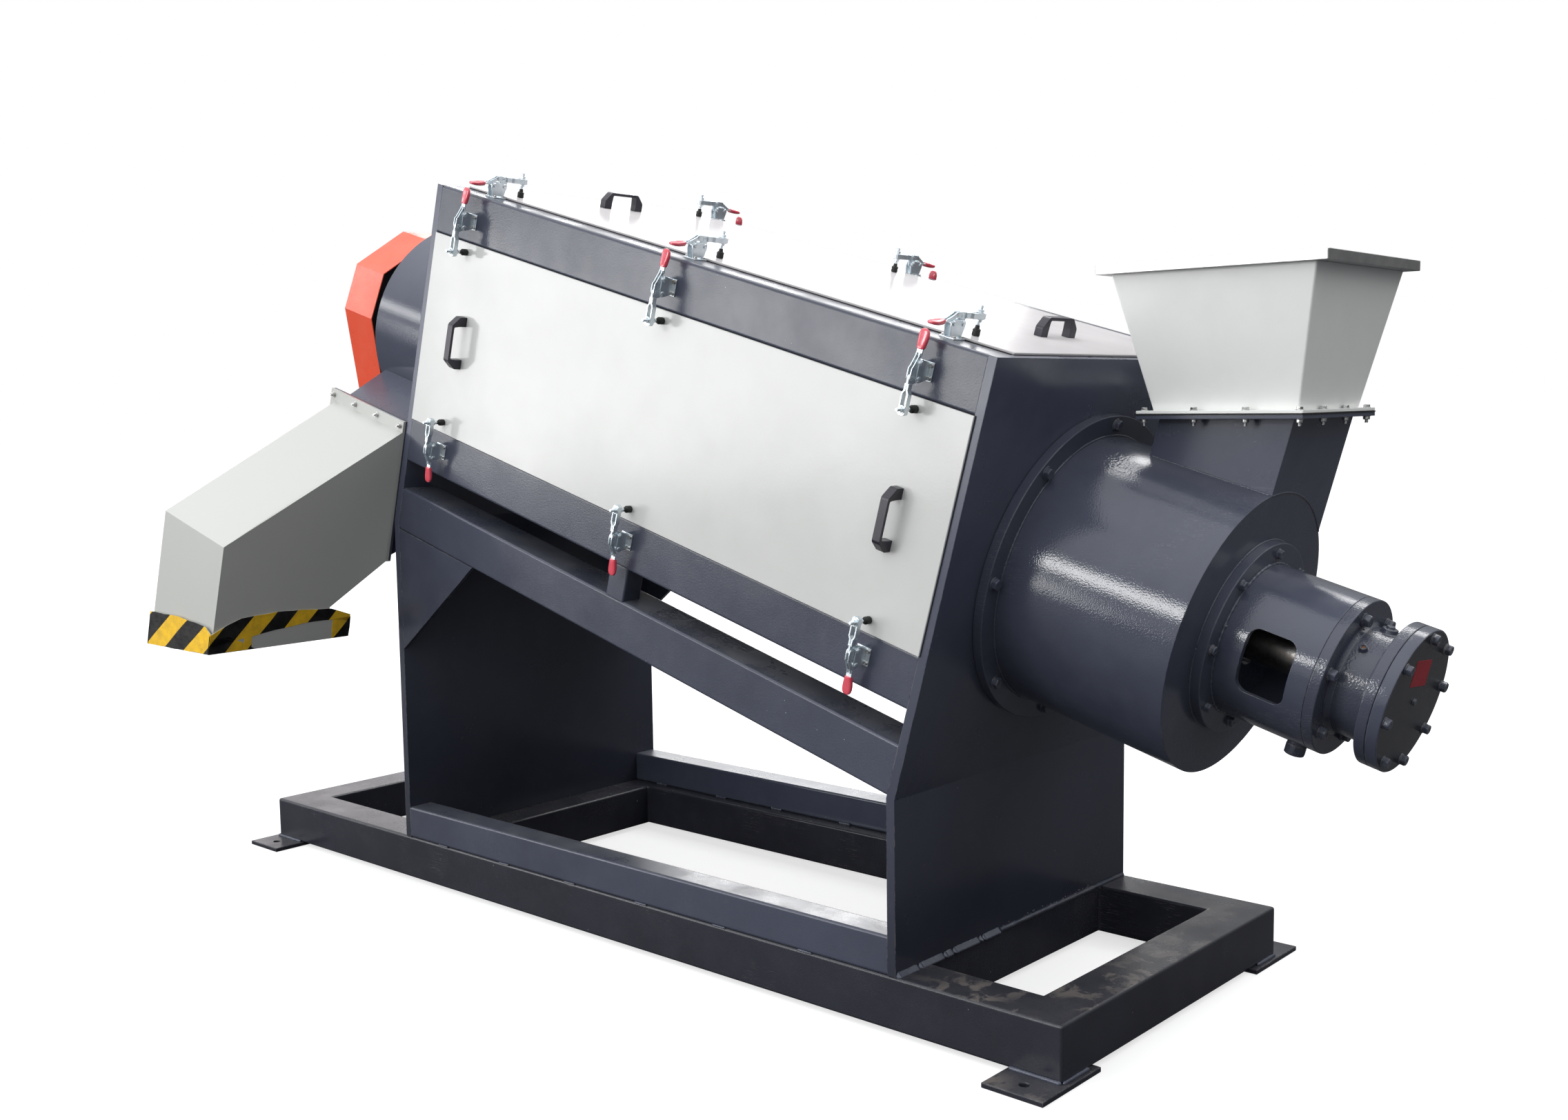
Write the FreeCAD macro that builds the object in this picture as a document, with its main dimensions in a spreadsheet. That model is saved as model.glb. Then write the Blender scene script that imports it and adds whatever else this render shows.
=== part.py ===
import FreeCAD, Part
import os, math
from FreeCAD import Vector, Rotation, Placement
import Sketcher

# Friction washer, fixed plant.  Millimetres, +Z up, -Y is the front (chute
# side), +X is the feed end.  The origin is on the floor, at the centre of the
# four anchor holes.  The housing and everything on the rotor axis is built in
# an inclined frame (x along the rotor axis, z square to it) and then placed at
# the kink of the feed end plate, tilted by the slope of the machine.

os.makedirs("parts", exist_ok=True)
doc = FreeCAD.newDocument("friction_washer")
sheet = doc.addObject("Spreadsheet::Sheet", "dims")

VALUES = {
    # base frame
    "base_len": 3000, "base_wid": 1000, "beam_wid": 125, "beam_ht": 125, "beam_wall": 6,
    "foot_thk": 12, "foot_len": 150, "foot_wid": 225, "foot_out": 95, "foot_over": 15,
    "anchor_out": 48, "anchor_rad": 11,
    "upper_wid": 80, "upper_ht": 91,
    # end plates, in world X
    "left_x": -781.4, "right_x": 1069, "plate_thk": 23, "kink_z": 540, "tilt": 15.866,
    # housing, in the inclined frame
    "house_len": 1928.8, "house_ht": 1002, "left_kink_v": 17.8,
    "rail_dep": 60, "top_rail_dep": 88, "low_rail_dep": 118,
    "top_rail_bot": 872, "mid_rail_top": 337, "mid_rail_bot": 210,
    "low_rail_top": 126, "low_rail_bot": 2.4, "post_left": -1005.9, "post_right": -939.4,
    "gusset_apex": -1549, "gusset_low_z": 705, "gusset_thk": 12,
    "cover_thk": 6, "cover_end_gap": 20, "cover_lap": 3, "lid_edge": 412,
    # covers' handles
    "grip_half": 72.5, "grip_wid": 24, "grip_out": 46,
    "grip_left_u": -1722, "grip_right_u": -164, "grip_mid_v": 603,
    "lid_grip_left_u": -1725, "lid_grip_right_u": -190,
    # clamps
    "clamp_left_u": -1754, "clamp_mid_u": -962, "clamp_right_u": -168,
    "clamp_up_v": 931, "clamp_low_v": 283, "clamp_top_y": 434,
    "cbase_wid": 40, "cbase_len": 42, "cbase_thk": 3, "cheek_thk": 3, "cheek_gap": 6.8,
    "pivot_a": 17, "pivot_n": 33, "pin_rad": 4, "pin_hole": 4.2, "lug_rad": 9,
    "link_a": 14.6, "link_n": 49.5, "link_rad": 3, "link_hole": 3.1,
    "blade_half": 2.6, "side_in": 3.2, "side_out": 5.6,
    "arm_reach": 84, "arm_low": 44, "arm_thk": 13, "arm_wid": 19, "arm_end": 97,
    "spindle_rad": 4, "spindle_top": 74, "tip_rad": 9, "tip_len": 15, "tip_gap": 0.3,
    "red_start": 36, "red_end": 90, "red_wid": 23,
    # rotor axis and drums
    "axis_v": 505, "drum_rad": 325, "drum_wall": 8, "inlet_len": 454, "outlet_len": 462,
    "plate_hole": 300, "ring_rad": 372, "ring_thk": 25,
    # feed spout and hopper
    "spout_in_u": 157, "spout_front": -59, "spout_rear": 241, "spout_top_z": 1371, "spout_wall": 6,
    "hopper_x": 1622, "hopper_y": 88, "hopper_fl_x": 380, "hopper_fl_y": 374, "hopper_fl_thk": 9,
    "hopper_bot_x": 331, "hopper_bot_y": 302, "hopper_top_x": 462, "hopper_top_y": 452,
    "hopper_low_z": 1380, "hopper_high_z": 1684, "hopper_wall": 4,
    "rim_x": 522, "rim_y": 486, "rim_ht": 22,
    # bearing end
    "seal_rad": 218, "seal_thk": 24, "seal_bore": 60,
    "ped_rad": 172, "ped_wall": 14, "ped_end": 684, "ped_win_a": 532, "ped_win_b": 640, "ped_win_ht": 140, "ped_win_r": 24,
    "ped_mid": 499, "ped_flange": 24, "house_rad": 118, "house_fl_thk": 24, "house_end": 790,
    "cover_rad": 156, "cover_end": 838, "cap_bolt_ring": 139, "cap_bolt_rad": 11.5, "cap_bolt_ht": 14, "shaft_rad": 45, "shaft_hole": 45.06,
    "drain_rad": 24, "drain_len": 33, "drain_u": 636,
    # discharge end
    "chute_u0": -2282, "chute_u1": -1956, "chute_top": 284, "chute_low": -107, "chute_wall": 4,
    "chute_bend_y": -1022, "chute_bend_v": -32, "chute_front_y": -1035, "chute_back_y": -666, "chute_back_v": -246,
    "chute_fl_u0": -2312, "chute_fl_u1": -1934, "chute_fl_top": 317, "chute_fl_low": -111, "chute_fl_thk": 8,
    "mouth_z": 743, "mouth_top_z": 840, "lip_back_y": -595, "lip_thk": 5,
    "guard_u0": -2560, "guard_u1": -2412, "guard_wall": 3, "guard_back": 16,
    "drive_rad": 120, "pulley_rad": 250, "pulley_wid": 100,
    "rotor_rad": 110,
}
for row, (name, value) in enumerate(VALUES.items(), start=1):
    sheet.set("A%d" % row, name)
    sheet.set("B%d" % row, str(value))
    sheet.setAlias("B%d" % row, name)
doc.recompute()


class Q:
    """A size: its number, and the sheet expression that gives it."""
    def __init__(self, v, t):
        self.v, self.t = float(v), t
    def _o(self, o):
        return o if isinstance(o, Q) else Q(o, "%.6g" % o if o >= 0 else "(%.6g)" % o)
    def __add__(self, o):
        o = self._o(o); return Q(self.v + o.v, "(%s + %s)" % (self.t, o.t))
    __radd__ = __add__
    def __sub__(self, o):
        o = self._o(o); return Q(self.v - o.v, "(%s - %s)" % (self.t, o.t))
    def __rsub__(self, o):
        o = self._o(o); return Q(o.v - self.v, "(%s - %s)" % (o.t, self.t))
    def __mul__(self, o):
        o = self._o(o); return Q(self.v * o.v, "(%s * %s)" % (self.t, o.t))
    __rmul__ = __mul__
    def __truediv__(self, o):
        o = self._o(o); return Q(self.v / o.v, "(%s / %s)" % (self.t, o.t))
    def __neg__(self):
        return Q(-self.v, "(0 - %s)" % self.t)


def q(name):
    return Q(sheet.get(name), "dims." + name)


def num(x):
    return x.v if isinstance(x, Q) else float(x)


def bind(obj, prop, value):
    if isinstance(value, Q):
        obj.setExpression(prop, value.t)


def sinq():
    return Q(math.sin(math.radians(q("tilt").v)), "sin(dims.tilt)")


def cosq():
    return Q(math.cos(math.radians(q("tilt").v)), "cos(dims.tilt)")


def place(obj, x, y, z, rot=None):
    obj.Placement = Placement(Vector(num(x), num(y), num(z)), rot or Rotation())
    for axis, val in (("x", x), ("y", y), ("z", z)):
        bind(obj, "Placement.Base." + axis, val)


def incline(obj):
    """Put a piece built in the inclined frame where it belongs."""
    if obj.TypeId in ("Part::Box", "Part::Cylinder", "Part::MultiFuse", "Part::MultiCommon"):
        held = doc.addObject("Part::Compound", obj.Name + "_set")
        held.Links = [obj]
        obj.Label = obj.Name + "_piece"
        obj = held
    obj.Placement = Placement(Vector(q("right_x").v, 0, q("kink_z").v),
                              Rotation(Vector(0, 1, 0), q("tilt").v))
    obj.setExpression("Placement.Base.x", "dims.right_x")
    obj.setExpression("Placement.Base.z", "dims.kink_z")
    obj.setExpression("Placement.Rotation.Angle", "dims.tilt")
    return obj


def box(name, x0, x1, y0, y1, z0, z1):
    b = doc.addObject("Part::Box", name)
    for prop, lo, hi in (("Length", x0, x1), ("Width", y0, y1), ("Height", z0, z1)):
        size = hi - lo
        setattr(b, prop, num(size))
        bind(b, prop, size)
    place(b, x0, y0, z0)
    return b


ROT = {"z": Rotation(), "x": Rotation(Vector(0, 1, 0), 90), "y": Rotation(Vector(1, 0, 0), -90)}


def cyl(name, axis, r, start, end, a=0, b=0):
    """A cylinder along axis from start to end; a, b are its other two
    coordinates in X, Y, Z order."""
    c = doc.addObject("Part::Cylinder", name)
    length = end - start
    c.Radius, c.Height = num(r), num(length)
    bind(c, "Radius", r)
    bind(c, "Height", length)
    if axis == "x":
        place(c, start, a, b, ROT["x"])
    elif axis == "y":
        place(c, a, start, b, ROT["y"])
    else:
        place(c, a, b, start)
    return c


def cut(name, base, tool):
    o = doc.addObject("Part::Cut", name)
    o.Base, o.Tool = base, tool
    return o


def cuts(name, base, tools):
    if len(tools) == 1:
        return cut(name, base, tools[0])
    return cut(name, base, fuse(name + "_tools", tools))


def fuse(name, shapes):
    o = doc.addObject("Part::MultiFuse", name)
    o.Shapes = shapes
    return o


def common(name, a, b):
    o = doc.addObject("Part::MultiCommon", name)
    o.Shapes = [a, b]
    return o


def bundle(name, shapes):
    o = doc.addObject("Part::Compound", name)
    o.Links = shapes
    return o


def plane_of(body, role):
    for f in body.Origin.OriginFeatures:
        if f.Role == role:
            return f


def profile(name, plane, points, start, end):
    """A body: the closed outline `points` drawn on XZ (x, z) or YZ (y, z) and
    padded from start to end along the plane's axis."""
    body = doc.addObject("PartDesign::Body", name)
    sk = body.newObject("Sketcher::SketchObject", name + "_outline")
    sk.AttachmentSupport = [(plane_of(body, plane), "")]
    sk.MapMode = "FlatFace"
    length = end - start
    # XZ's normal is -Y, YZ's is +X
    if plane == "XZ_Plane":
        off = -end if isinstance(end, Q) else -float(end)
    else:
        off = start
    sk.AttachmentOffset = Placement(Vector(0, 0, num(off)), Rotation())
    bind(sk, "AttachmentOffset.Base.z", off)
    n = len(points)
    for i in range(n):
        a, b = points[i], points[(i + 1) % n]
        sk.addGeometry(Part.LineSegment(Vector(num(a[0]), num(a[1]), 0), Vector(num(b[0]), num(b[1]), 0)), False)
    for i in range(n):
        sk.addConstraint(Sketcher.Constraint("Coincident", i, 2, (i + 1) % n, 1))
    for i, (px, pz) in enumerate(points):
        for kind, val in (("DistanceX", px), ("DistanceY", pz)):
            c = sk.addConstraint(Sketcher.Constraint(kind, -1, 1, i, 1, num(val)))
            if isinstance(val, Q):
                sk.setExpression("Constraints[%d]" % c, val.t)
    doc.recompute()
    pad = body.newObject("PartDesign::Pad", name + "_pad")
    pad.Profile = sk
    pad.Length = num(length)
    bind(pad, "Length", length)
    pad.Reversed = False
    sk.Visibility = False
    doc.recompute()
    return body


def wedge(name, y0, x0, x1, z0, z1, y1, x2, x3, z2, z3):
    """A frustum: a rectangle at y0 lofted to another at y1."""
    w = doc.addObject("Part::Wedge", name)
    for prop, val in (("Ymin", y0), ("Xmin", x0), ("Xmax", x1), ("Zmin", z0), ("Zmax", z1),
                      ("Ymax", y1), ("X2min", x2), ("X2max", x3), ("Z2min", z2), ("Z2max", z3)):
        setattr(w, prop, num(val))
        bind(w, prop, val)
    return w


NODES = []


def node(obj, label):
    obj.Label = label
    if obj.Label != label:
        raise RuntimeError("label taken: " + label)
    NODES.append(obj)
    return obj


Z0 = q("foot_thk")
HX, HY = q("base_len") / 2, q("base_wid") / 2
BW, BT, WALL = q("beam_wid"), q("foot_thk") + q("beam_ht"), q("beam_wall")
LX, RX, PT = q("left_x"), q("right_x"), q("plate_thk")
ZERO = Q(0, "0")

# ---------------------------------------------------------------- base frame
for side, ya, yb in (("front", -HY, BW - HY), ("rear", HY - BW, HY)):
    outer = box("base_%s_skin" % side, -HX, HX, ya, yb, Z0, BT)
    inner = box("base_%s_void" % side, WALL - HX, HX - WALL, ya + WALL, yb - WALL, Z0 + WALL, BT - WALL)
    node(cut("base_%s" % side, outer, inner), "base_beam_" + side)
for side, xa, xb in (("end_left", -HX, BW - HX), ("end_right", HX - BW, HX),
                     ("cross_left", LX, LX + BW), ("cross_right", RX - BW, RX)):
    outer = box("base_%s_skin" % side, xa, xb, BW - HY, HY - BW, Z0, BT)
    inner = box("base_%s_void" % side, xa + WALL, xb - WALL, BW - HY, HY - BW, Z0 + WALL, BT - WALL)
    a, b = side.split("_")
    node(cut("base_%s" % side, outer, inner), "base_%s_beam_%s" % (a, b))
UW, UT = q("upper_wid"), BT + q("upper_ht")
for side, ya, yb in (("front", -HY, UW - HY), ("rear", HY - UW, HY)):
    outer = box("upper_%s_skin" % side, LX + PT, RX - PT, ya, yb, BT, UT)
    inner = box("upper_%s_void" % side, LX + PT, RX - PT, ya + WALL, yb - WALL, BT + WALL, UT - WALL)
    node(cut("upper_%s" % side, outer, inner), "upper_beam_" + side)
feet = []
for tag, sx in (("l", -1), ("r", 1)):
    for tagy, sy in (("f", -1), ("b", 1)):
        cx = sx * (HX + q("foot_over") - q("foot_len") / 2)
        cy = sy * (HY + q("foot_out") - q("foot_wid") / 2)
        hl, hw = q("foot_len") / 2, q("foot_wid") / 2
        plate = box("foot_%s%s" % (tag, tagy), cx - hl, cx + hl, cy - hw, cy + hw, ZERO, Z0)
        hx = sx * (HX + q("foot_over") - q("foot_len") / 2)
        hy = sy * (HY + q("anchor_out"))
        hole = cyl("anchor_%s%s" % (tag, tagy), "z", q("anchor_rad"), ZERO - 2, Z0 + 2, hx, hy)
        feet.append(cut("foot_plate_%s%s" % (tag, tagy), plate, hole))
node(bundle("feet", feet), "base_foot_plates")

# ---------------------------------------------------------------- end plates
S, C = sinq(), cosq()
TOPV, DL = q("house_ht"), q("house_len")
KZ = q("kink_z")


def world(u, v):
    """Inclined frame to world X, Z."""
    return (RX + u * C + v * S, KZ - u * S + v * C)


# inner kink of the feed plate: u = -thk meets X = RX - thk
rk = (C * PT - PT) / S
right_pts = [(RX, BT), (RX, KZ), world(ZERO, TOPV), world(-PT, TOPV), world(-PT, rk), (RX - PT, BT)]
right = profile("right_blank", "XZ_Plane", right_pts, -HY, HY)
rhole = cyl("right_hole", "x", q("plate_hole"), -PT - 30, ZERO + 30, ZERO, q("axis_v"))
rx, rz = world(-PT - 30, q("axis_v"))
place(rhole, rx, ZERO, rz, Rotation(Vector(0, 1, 0), 90 + q("tilt").v))
rhole.setExpression("Placement.Rotation.Angle", "90 + dims.tilt")
node(cut("right_plate", right, rhole), "end_plate_right")

LV = q("left_kink_v")
lx1, lz1 = world(-DL, LV)
lk = (LX + PT - RX + (DL - PT) * C) / S
left_pts = [(LX, BT), (LX, lz1), world(-DL, TOPV), world(PT - DL, TOPV), world(PT - DL, lk), (LX + PT, BT)]
left = profile("left_blank", "XZ_Plane", left_pts, -HY, HY)
lhole = cyl("left_hole", "x", q("plate_hole"), ZERO, PT + 60, ZERO, ZERO)
hx0, hz0 = world(-DL - 30, q("axis_v"))
place(lhole, hx0, ZERO, hz0, Rotation(Vector(0, 1, 0), 90 + q("tilt").v))
lhole.setExpression("Placement.Rotation.Angle", "90 + dims.tilt")
node(cut("left_plate", left, lhole), "end_plate_left")

# ------------------------------------------------------------ housing, sides
UA, UB = PT - DL, -PT
RD, TD, LD = q("rail_dep"), q("top_rail_dep"), q("low_rail_dep")


def tube(name, x0, x1, ya, yb, z0, z1):
    """A square-section rail along x, closed by the plates at its ends."""
    skin = box(name + "_skin", x0, x1, ya, yb, z0, z1)
    void = box(name + "_void", x0 + WALL, x1 - WALL, ya + WALL, yb - WALL, z0 + WALL, z1 - WALL)
    return cut(name, skin, void)


def mirrored(name, x0, x1, depth, z0, z1, label):
    for side, sy in (("front", -1), ("rear", 1)):
        ya, yb = (-HY, depth - HY) if sy < 0 else (HY - depth, HY)
        node(incline(tube(name + "_" + side, x0, x1, ya, yb, z0, z1)), "%s_%s" % (label, side))


def clear_of_plate(name, obj):
    """Trims what reaches into the upright part of the discharge end plate."""
    return cut(name + "_trimmed", obj, box(name + "_keep_out", LX - 150, LX + PT, -HY - 10, HY + 10, KZ, KZ + 600))


mirrored("top_rail", UA, UB, TD, q("top_rail_bot"), TOPV, "top_rail")
for side, sy in (("front", -1), ("rear", 1)):
    ya, yb = (-HY, RD - HY) if sy < 0 else (HY - RD, HY)
    rail = tube("mid_rail_" + side, UA, UB, ya, yb, q("mid_rail_bot"), q("mid_rail_top"))
    post = box("post_" + side, q("post_left"), q("post_right"), ya, yb, q("low_rail_top"), q("mid_rail_bot"))
    node(incline(fuse("mid_frame_" + side, [rail, post])), "middle_rail_" + side)
for side, sy in (("front", -1), ("rear", 1)):
    ya, yb = (-HY, LD - HY) if sy < 0 else (HY - LD, HY)
    node(clear_of_plate("low_rail_" + side, incline(tube("low_rail_" + side + "_full", UA, UB, ya, yb, q("low_rail_bot"), q("low_rail_top")))), "lower_rail_" + side)
# gusset between the lower rail and the upright part of the discharge plate
gx1, gz1 = world(q("gusset_apex"), q("low_rail_bot"))
gu = (LX + PT - RX - q("low_rail_bot") * S) / C
gx0, gz0 = world(gu, q("low_rail_bot"))
gus_pts = [(LX + PT, q("gusset_low_z")), (gx1, gz1), (gx0, gz0)]
for side, sy in (("front", -1), ("rear", 1)):
    ya, yb = (-HY, q("gusset_thk") - HY) if sy < 0 else (HY - q("gusset_thk"), HY)
    node(profile("gusset_" + side, "XZ_Plane", gus_pts, ya, yb), "gusset_" + side)
# the housing is open underneath, between the lower rails

# ------------------------------------------------------------ covers
CG, CL, CT = q("cover_end_gap"), q("cover_lap"), q("cover_thk")
for side, sy in (("front", -1), ("rear", 1)):
    ya, yb = (-HY - CT, -HY) if sy < 0 else (HY, HY + CT)
    node(incline(box("panel_" + side, UA + CL, -CG, ya, yb, q("mid_rail_top") - 1, q("top_rail_bot") + 1)), "side_panel_" + side)
node(incline(box("lid", UA + CL, -CG, -q("lid_edge"), q("lid_edge"), TOPV, TOPV + CT)), "top_lid")

# bridge handles: profile in (a, n), padded over the grip's width
GH, GO, GW = q("grip_half"), q("grip_out"), q("grip_wid")
FLIP = {
    "TF": Rotation(), "TR": Rotation(Vector(0, 0, 1), 180),
    "FL": Rotation(Vector(1, 0, 0), 90),
    "FU": Rotation(Vector(1, 0, 0), 90).multiply(Rotation(Vector(0, 0, 1), 180)),
    "RU": Rotation(Vector(1, 0, 0), -90),
    "RL": Rotation(Vector(1, 0, 0), -90).multiply(Rotation(Vector(0, 0, 1), 180)),
}


def handle(name):
    pts = [(-GH, ZERO), (-GH, ZERO + 22), (-GH + 22, GO), (GH - 22, GO), (GH, ZERO + 22), (GH, ZERO),
           (GH - 26, ZERO), (GH - 26, ZERO + 15), (GH - 33, GO - 13), (-GH + 33, GO - 13), (-GH + 26, ZERO + 15), (-GH + 26, ZERO)]
    return profile(name, "YZ_Plane", pts, -GW / 2, GW / 2)


def moved(name, obj, x, y, z, key):
    """One solid set down at x, y, z with the turn `key`."""
    o = doc.addObject("Part::Compound", name)
    o.Links = [obj]
    place(o, x, y, z, FLIP[key])
    return o


for side, key, ny in (("front", "FL", -HY - CT), ("rear", "RU", HY + CT)):
    pair = []
    for tag in ("left", "right"):
        hd = handle("grip_%s_%s" % (side, tag))
        pair.append(moved("grip_set_%s_%s" % (side, tag), hd, q("grip_%s_u" % tag), ny, q("grip_mid_v"), key))
    node(incline(bundle("grips_" + side, pair)), "panel_handles_" + side)
pair = []
for tag in ("left", "right"):
    hd = handle("grip_top_" + tag)
    pair.append(moved("grip_set_top_" + tag, hd, q("lid_grip_%s_u" % tag), ZERO, TOPV + CT, "TF"))
node(incline(bundle("grips_top", pair)), "lid_handles")

# ------------------------------------------------------------ toggle clamps
# canonical clamp: y is from the base towards the tip, z is out of the
# mounting face, x is along the pivots
PA, PN, PR, PH = q("pivot_a"), q("pivot_n"), q("pin_rad"), q("pin_hole")
LR, LH = q("lug_rad"), q("side_out")
LA, LN, BH, RS = q("link_a"), q("link_n"), q("blade_half"), q("red_start")


def clamp_base(n):
    w, l, k = q("cbase_wid") / 2, q("cbase_len") / 2, q("cbase_thk")
    g, kt = q("cheek_gap"), q("cheek_thk")
    plate = box(n + "_plate", -w, w, -l, l, ZERO, k)
    holes = [cyl(n + "_h%d" % i, "z", Q(3.2, "3.2"), ZERO - 1, k + 1, sx * (w - 5.5), sy * (l - 7))
             for i, (sx, sy) in enumerate(((-1, -1), (1, -1), (1, 1), (-1, 1)))]
    plate = cuts(n + "_drilled", plate, holes)
    top = PN + LR - 1
    cheeks = [profile(n + "_cheek%s" % t, "YZ_Plane",
                      [(-PA - 1, k), (-PA - 8, PN - 5), (-PA - 8, PN + 3), (-PA - 3, top), (PA + 3, top), (PA + 8, PN + 3), (PA + 8, PN - 5), (PA + 1, k)],
                      a, a + kt) for t, a in (("a", -g - kt), ("b", g))]
    pins = []
    for i, a in enumerate((PA, -PA)):
        pins.append(cyl(n + "_pin%d" % i, "x", PR, -g, g, a, PN))
        pins.append(cyl(n + "_head%da" % i, "x", PR + 1.5, g + kt, g + kt + 2, a, PN))
        pins.append(cyl(n + "_head%db" % i, "x", PR + 1.5, -g - kt - 2, -g - kt, a, PN))
    return bundle(n, [plate] + cheeks + pins)


def clamp_arm(n):
    low, high = q("arm_low"), q("arm_low") + q("arm_thk")
    half, end, reach = q("arm_wid") / 2, q("arm_end"), q("arm_reach")
    lug = cyl(n + "_lug", "x", LR, -BH, BH, PA, PN)
    blade = profile(n + "_blade", "YZ_Plane", [(PA - 8, PN + 4), (LA - 8, LN), (LA - 5, high), (PA + 12, high), (PA + 12, low), (PA + 8.5, PN)], -BH, BH)
    neck = box(n + "_neck", -q("side_out") , q("side_out"), PA + 11, PA + 30, low, high)
    bar = cut(n + "_bar", box(n + "_bar_o", -half, half, PA + 29, end, low, high),
              box(n + "_bar_i", 4 - half, half - 4, PA + 35, end - 5, low - 2, high + 2))
    spin = cyl(n + "_spindle", "z", q("spindle_rad"), CT + q("tip_gap") + 4, q("spindle_top"), ZERO, reach)
    nuts = [cyl(n + "_nut%d" % i, "z", Q(8, "8"), a, a + 6, ZERO, reach) for i, a in enumerate((high, low - 6))]
    tip = cyl(n + "_tip", "z", q("tip_rad"), CT + q("tip_gap"), CT + q("tip_gap") + q("tip_len"), ZERO, reach)
    bore = cyl(n + "_bore", "x", PH, -LH - 2, LH + 2, PA, PN)
    link = cyl(n + "_link", "x", q("link_hole"), -LH - 2, LH + 2, LA, LN)
    return cuts(n, fuse(n + "_all", [lug, blade, neck, bar, spin, tip] + nuts), [bore, link])


def clamp_lever(n):
    si, so = q("side_in"), q("side_out")
    pin = cyl(n + "_pin", "x", q("link_rad"), -so, so, LA, LN)
    side = [(LA + 7.4, LN + 1), (LA + 5, LN + 7.5), (LA - 6, LN + 8.5), (LA - 22, LN + 7.5), (LA - 25, LN + 1), (LA - 18, LN - 4), (LA - 2, LN - 7.5), (LA + 6, LN - 5)]
    sides = [profile(n + "_side" + t, "YZ_Plane", side, a, a + so - si) for t, a in (("a", -so), ("b", si))]
    neck = profile(n + "_neck", "YZ_Plane", [(LA - 20, LN + 7), (LA - 20, LN - 3), (-RS + 1, LN - 16), (-RS, LN - 16), (-RS, LN - 8), (-RS + 3, LN - 8)], -so, so)
    mid = (RS + q("red_end")) / 2
    red = profile(n + "_red", "YZ_Plane", [(-RS, LN - 5.5), (-RS, LN - 18), (-mid, LN - 21.5), (-q("red_end"), LN - 20), (-q("red_end"), LN - 14), (-mid, LN - 12)],
                  -q("red_wid") / 2, q("red_wid") / 2)
    return bundle(n, [fuse(n + "_steel", [pin, neck] + sides), red])


ROWS = {"FU": ("front_upper", -HY, q("clamp_up_v")), "FL": ("front_lower", -HY, q("clamp_low_v")),
        "RU": ("rear_upper", HY, q("clamp_up_v")), "RL": ("rear_lower", HY, q("clamp_low_v")),
        "TF": ("top_front", -q("clamp_top_y"), TOPV), "TR": ("top_rear", q("clamp_top_y"), TOPV)}
COLS = ("left", "mid", "right")
bases = {"front": [], "rear": [], "top": []}
for key, (rname, cy, cz) in ROWS.items():
    for make, word in ((clamp_base, "base"), (clamp_arm, "arm"), (clamp_lever, "lever")):
        row = []
        for col in COLS:
            one = make("%s_%s_%s" % (word, key, col))
            row.append(moved("%s_at_%s_%s" % (word, key, col), one, q("clamp_%s_u" % col), cy, cz, key))
        if word == "base":
            bases["top" if key[0] == "T" else rname.split("_")[0]] += row
        else:
            node(incline(bundle("%ss_%s" % (word, key), row)), "clamp_%ss_%s" % (word, rname))
for side, row in bases.items():
    node(incline(bundle("clamp_bases_" + side, row)), "clamp_bases_" + side)

# ------------------------------------------------------------ feed end
AV, DR, DW = q("axis_v"), q("drum_rad"), q("drum_wall")
IL, OL = q("inlet_len"), q("outlet_len")
node(incline(cut("ring", cyl("ring_o", "x", q("ring_rad"), ZERO, q("ring_thk"), ZERO, AV),
                 cyl("ring_i", "x", DR, ZERO - 5, q("ring_thk") + 5, ZERO, AV))), "inlet_flange")
SF, SR_, SW = q("spout_front"), q("spout_rear"), q("spout_wall")
drum_o = cyl("drum_o", "x", DR, ZERO, IL, ZERO, AV)
drum_i = cyl("drum_i", "x", DR - DW, ZERO - 5, IL - DW, ZERO, AV)
drum_h = cyl("drum_h", "x", q("seal_bore"), IL - DW - 5, IL + 5, ZERO, AV)
drum_w = box("drum_w", q("spout_in_u") + SW, IL - SW, SF + SW, SR_ - SW, AV + 120, AV + DR + 60)
node(incline(cuts("inlet_drum_body", drum_o, [drum_i, drum_h, drum_w])), "inlet_drum")

sp_o = box("sp_o", q("spout_in_u"), IL, SF, SR_, AV + 120, TOPV + 120)
sp_i = box("sp_i", q("spout_in_u") + SW, IL - SW, SF + SW, SR_ - SW, AV + 100, TOPV + 140)
sp_d = cyl("sp_d", "x", DR, ZERO, IL + 5, ZERO, AV)
# everything above the level top of the spout is cut off, square to the floor
sp_t = box("sp_t", ZERO - 600, ZERO + 600, ZERO - 600, ZERO + 600, ZERO, ZERO + 900)
# the level plane z = spout_top_z, met on the line u = 0, v = (top - kink) / cos
sp_t.Length = 1200
place(sp_t, ZERO - 600 * C, ZERO - 600, (q("spout_top_z") - KZ) / C - 600 * S, Rotation(Vector(0, -1, 0), q("tilt").v))
sp_t.setExpression("Placement.Rotation.Angle", "dims.tilt")
spout = incline(cuts("spout_walls", sp_o, [sp_i, sp_d, sp_t]))
FX, FY, FT = q("hopper_fl_x") / 2, q("hopper_fl_y") / 2, q("hopper_fl_thk")
HXC, HYC = q("hopper_x"), q("hopper_y")
sf_o = box("sf_o", HXC - FX, HXC + FX, HYC - FY, HYC + FY, q("spout_top_z"), q("hopper_low_z"))
sf_i = box("sf_i", HXC - 149, HXC + 149, SF + SW, SR_ - SW, q("spout_top_z") - 5, q("hopper_low_z") + 5)
node(fuse("spout_and_flange", [spout, cut("sf", sf_o, sf_i)]), "inlet_spout")

HLZ, HHZ, HW = q("hopper_low_z"), q("hopper_high_z"), q("hopper_wall")


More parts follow.
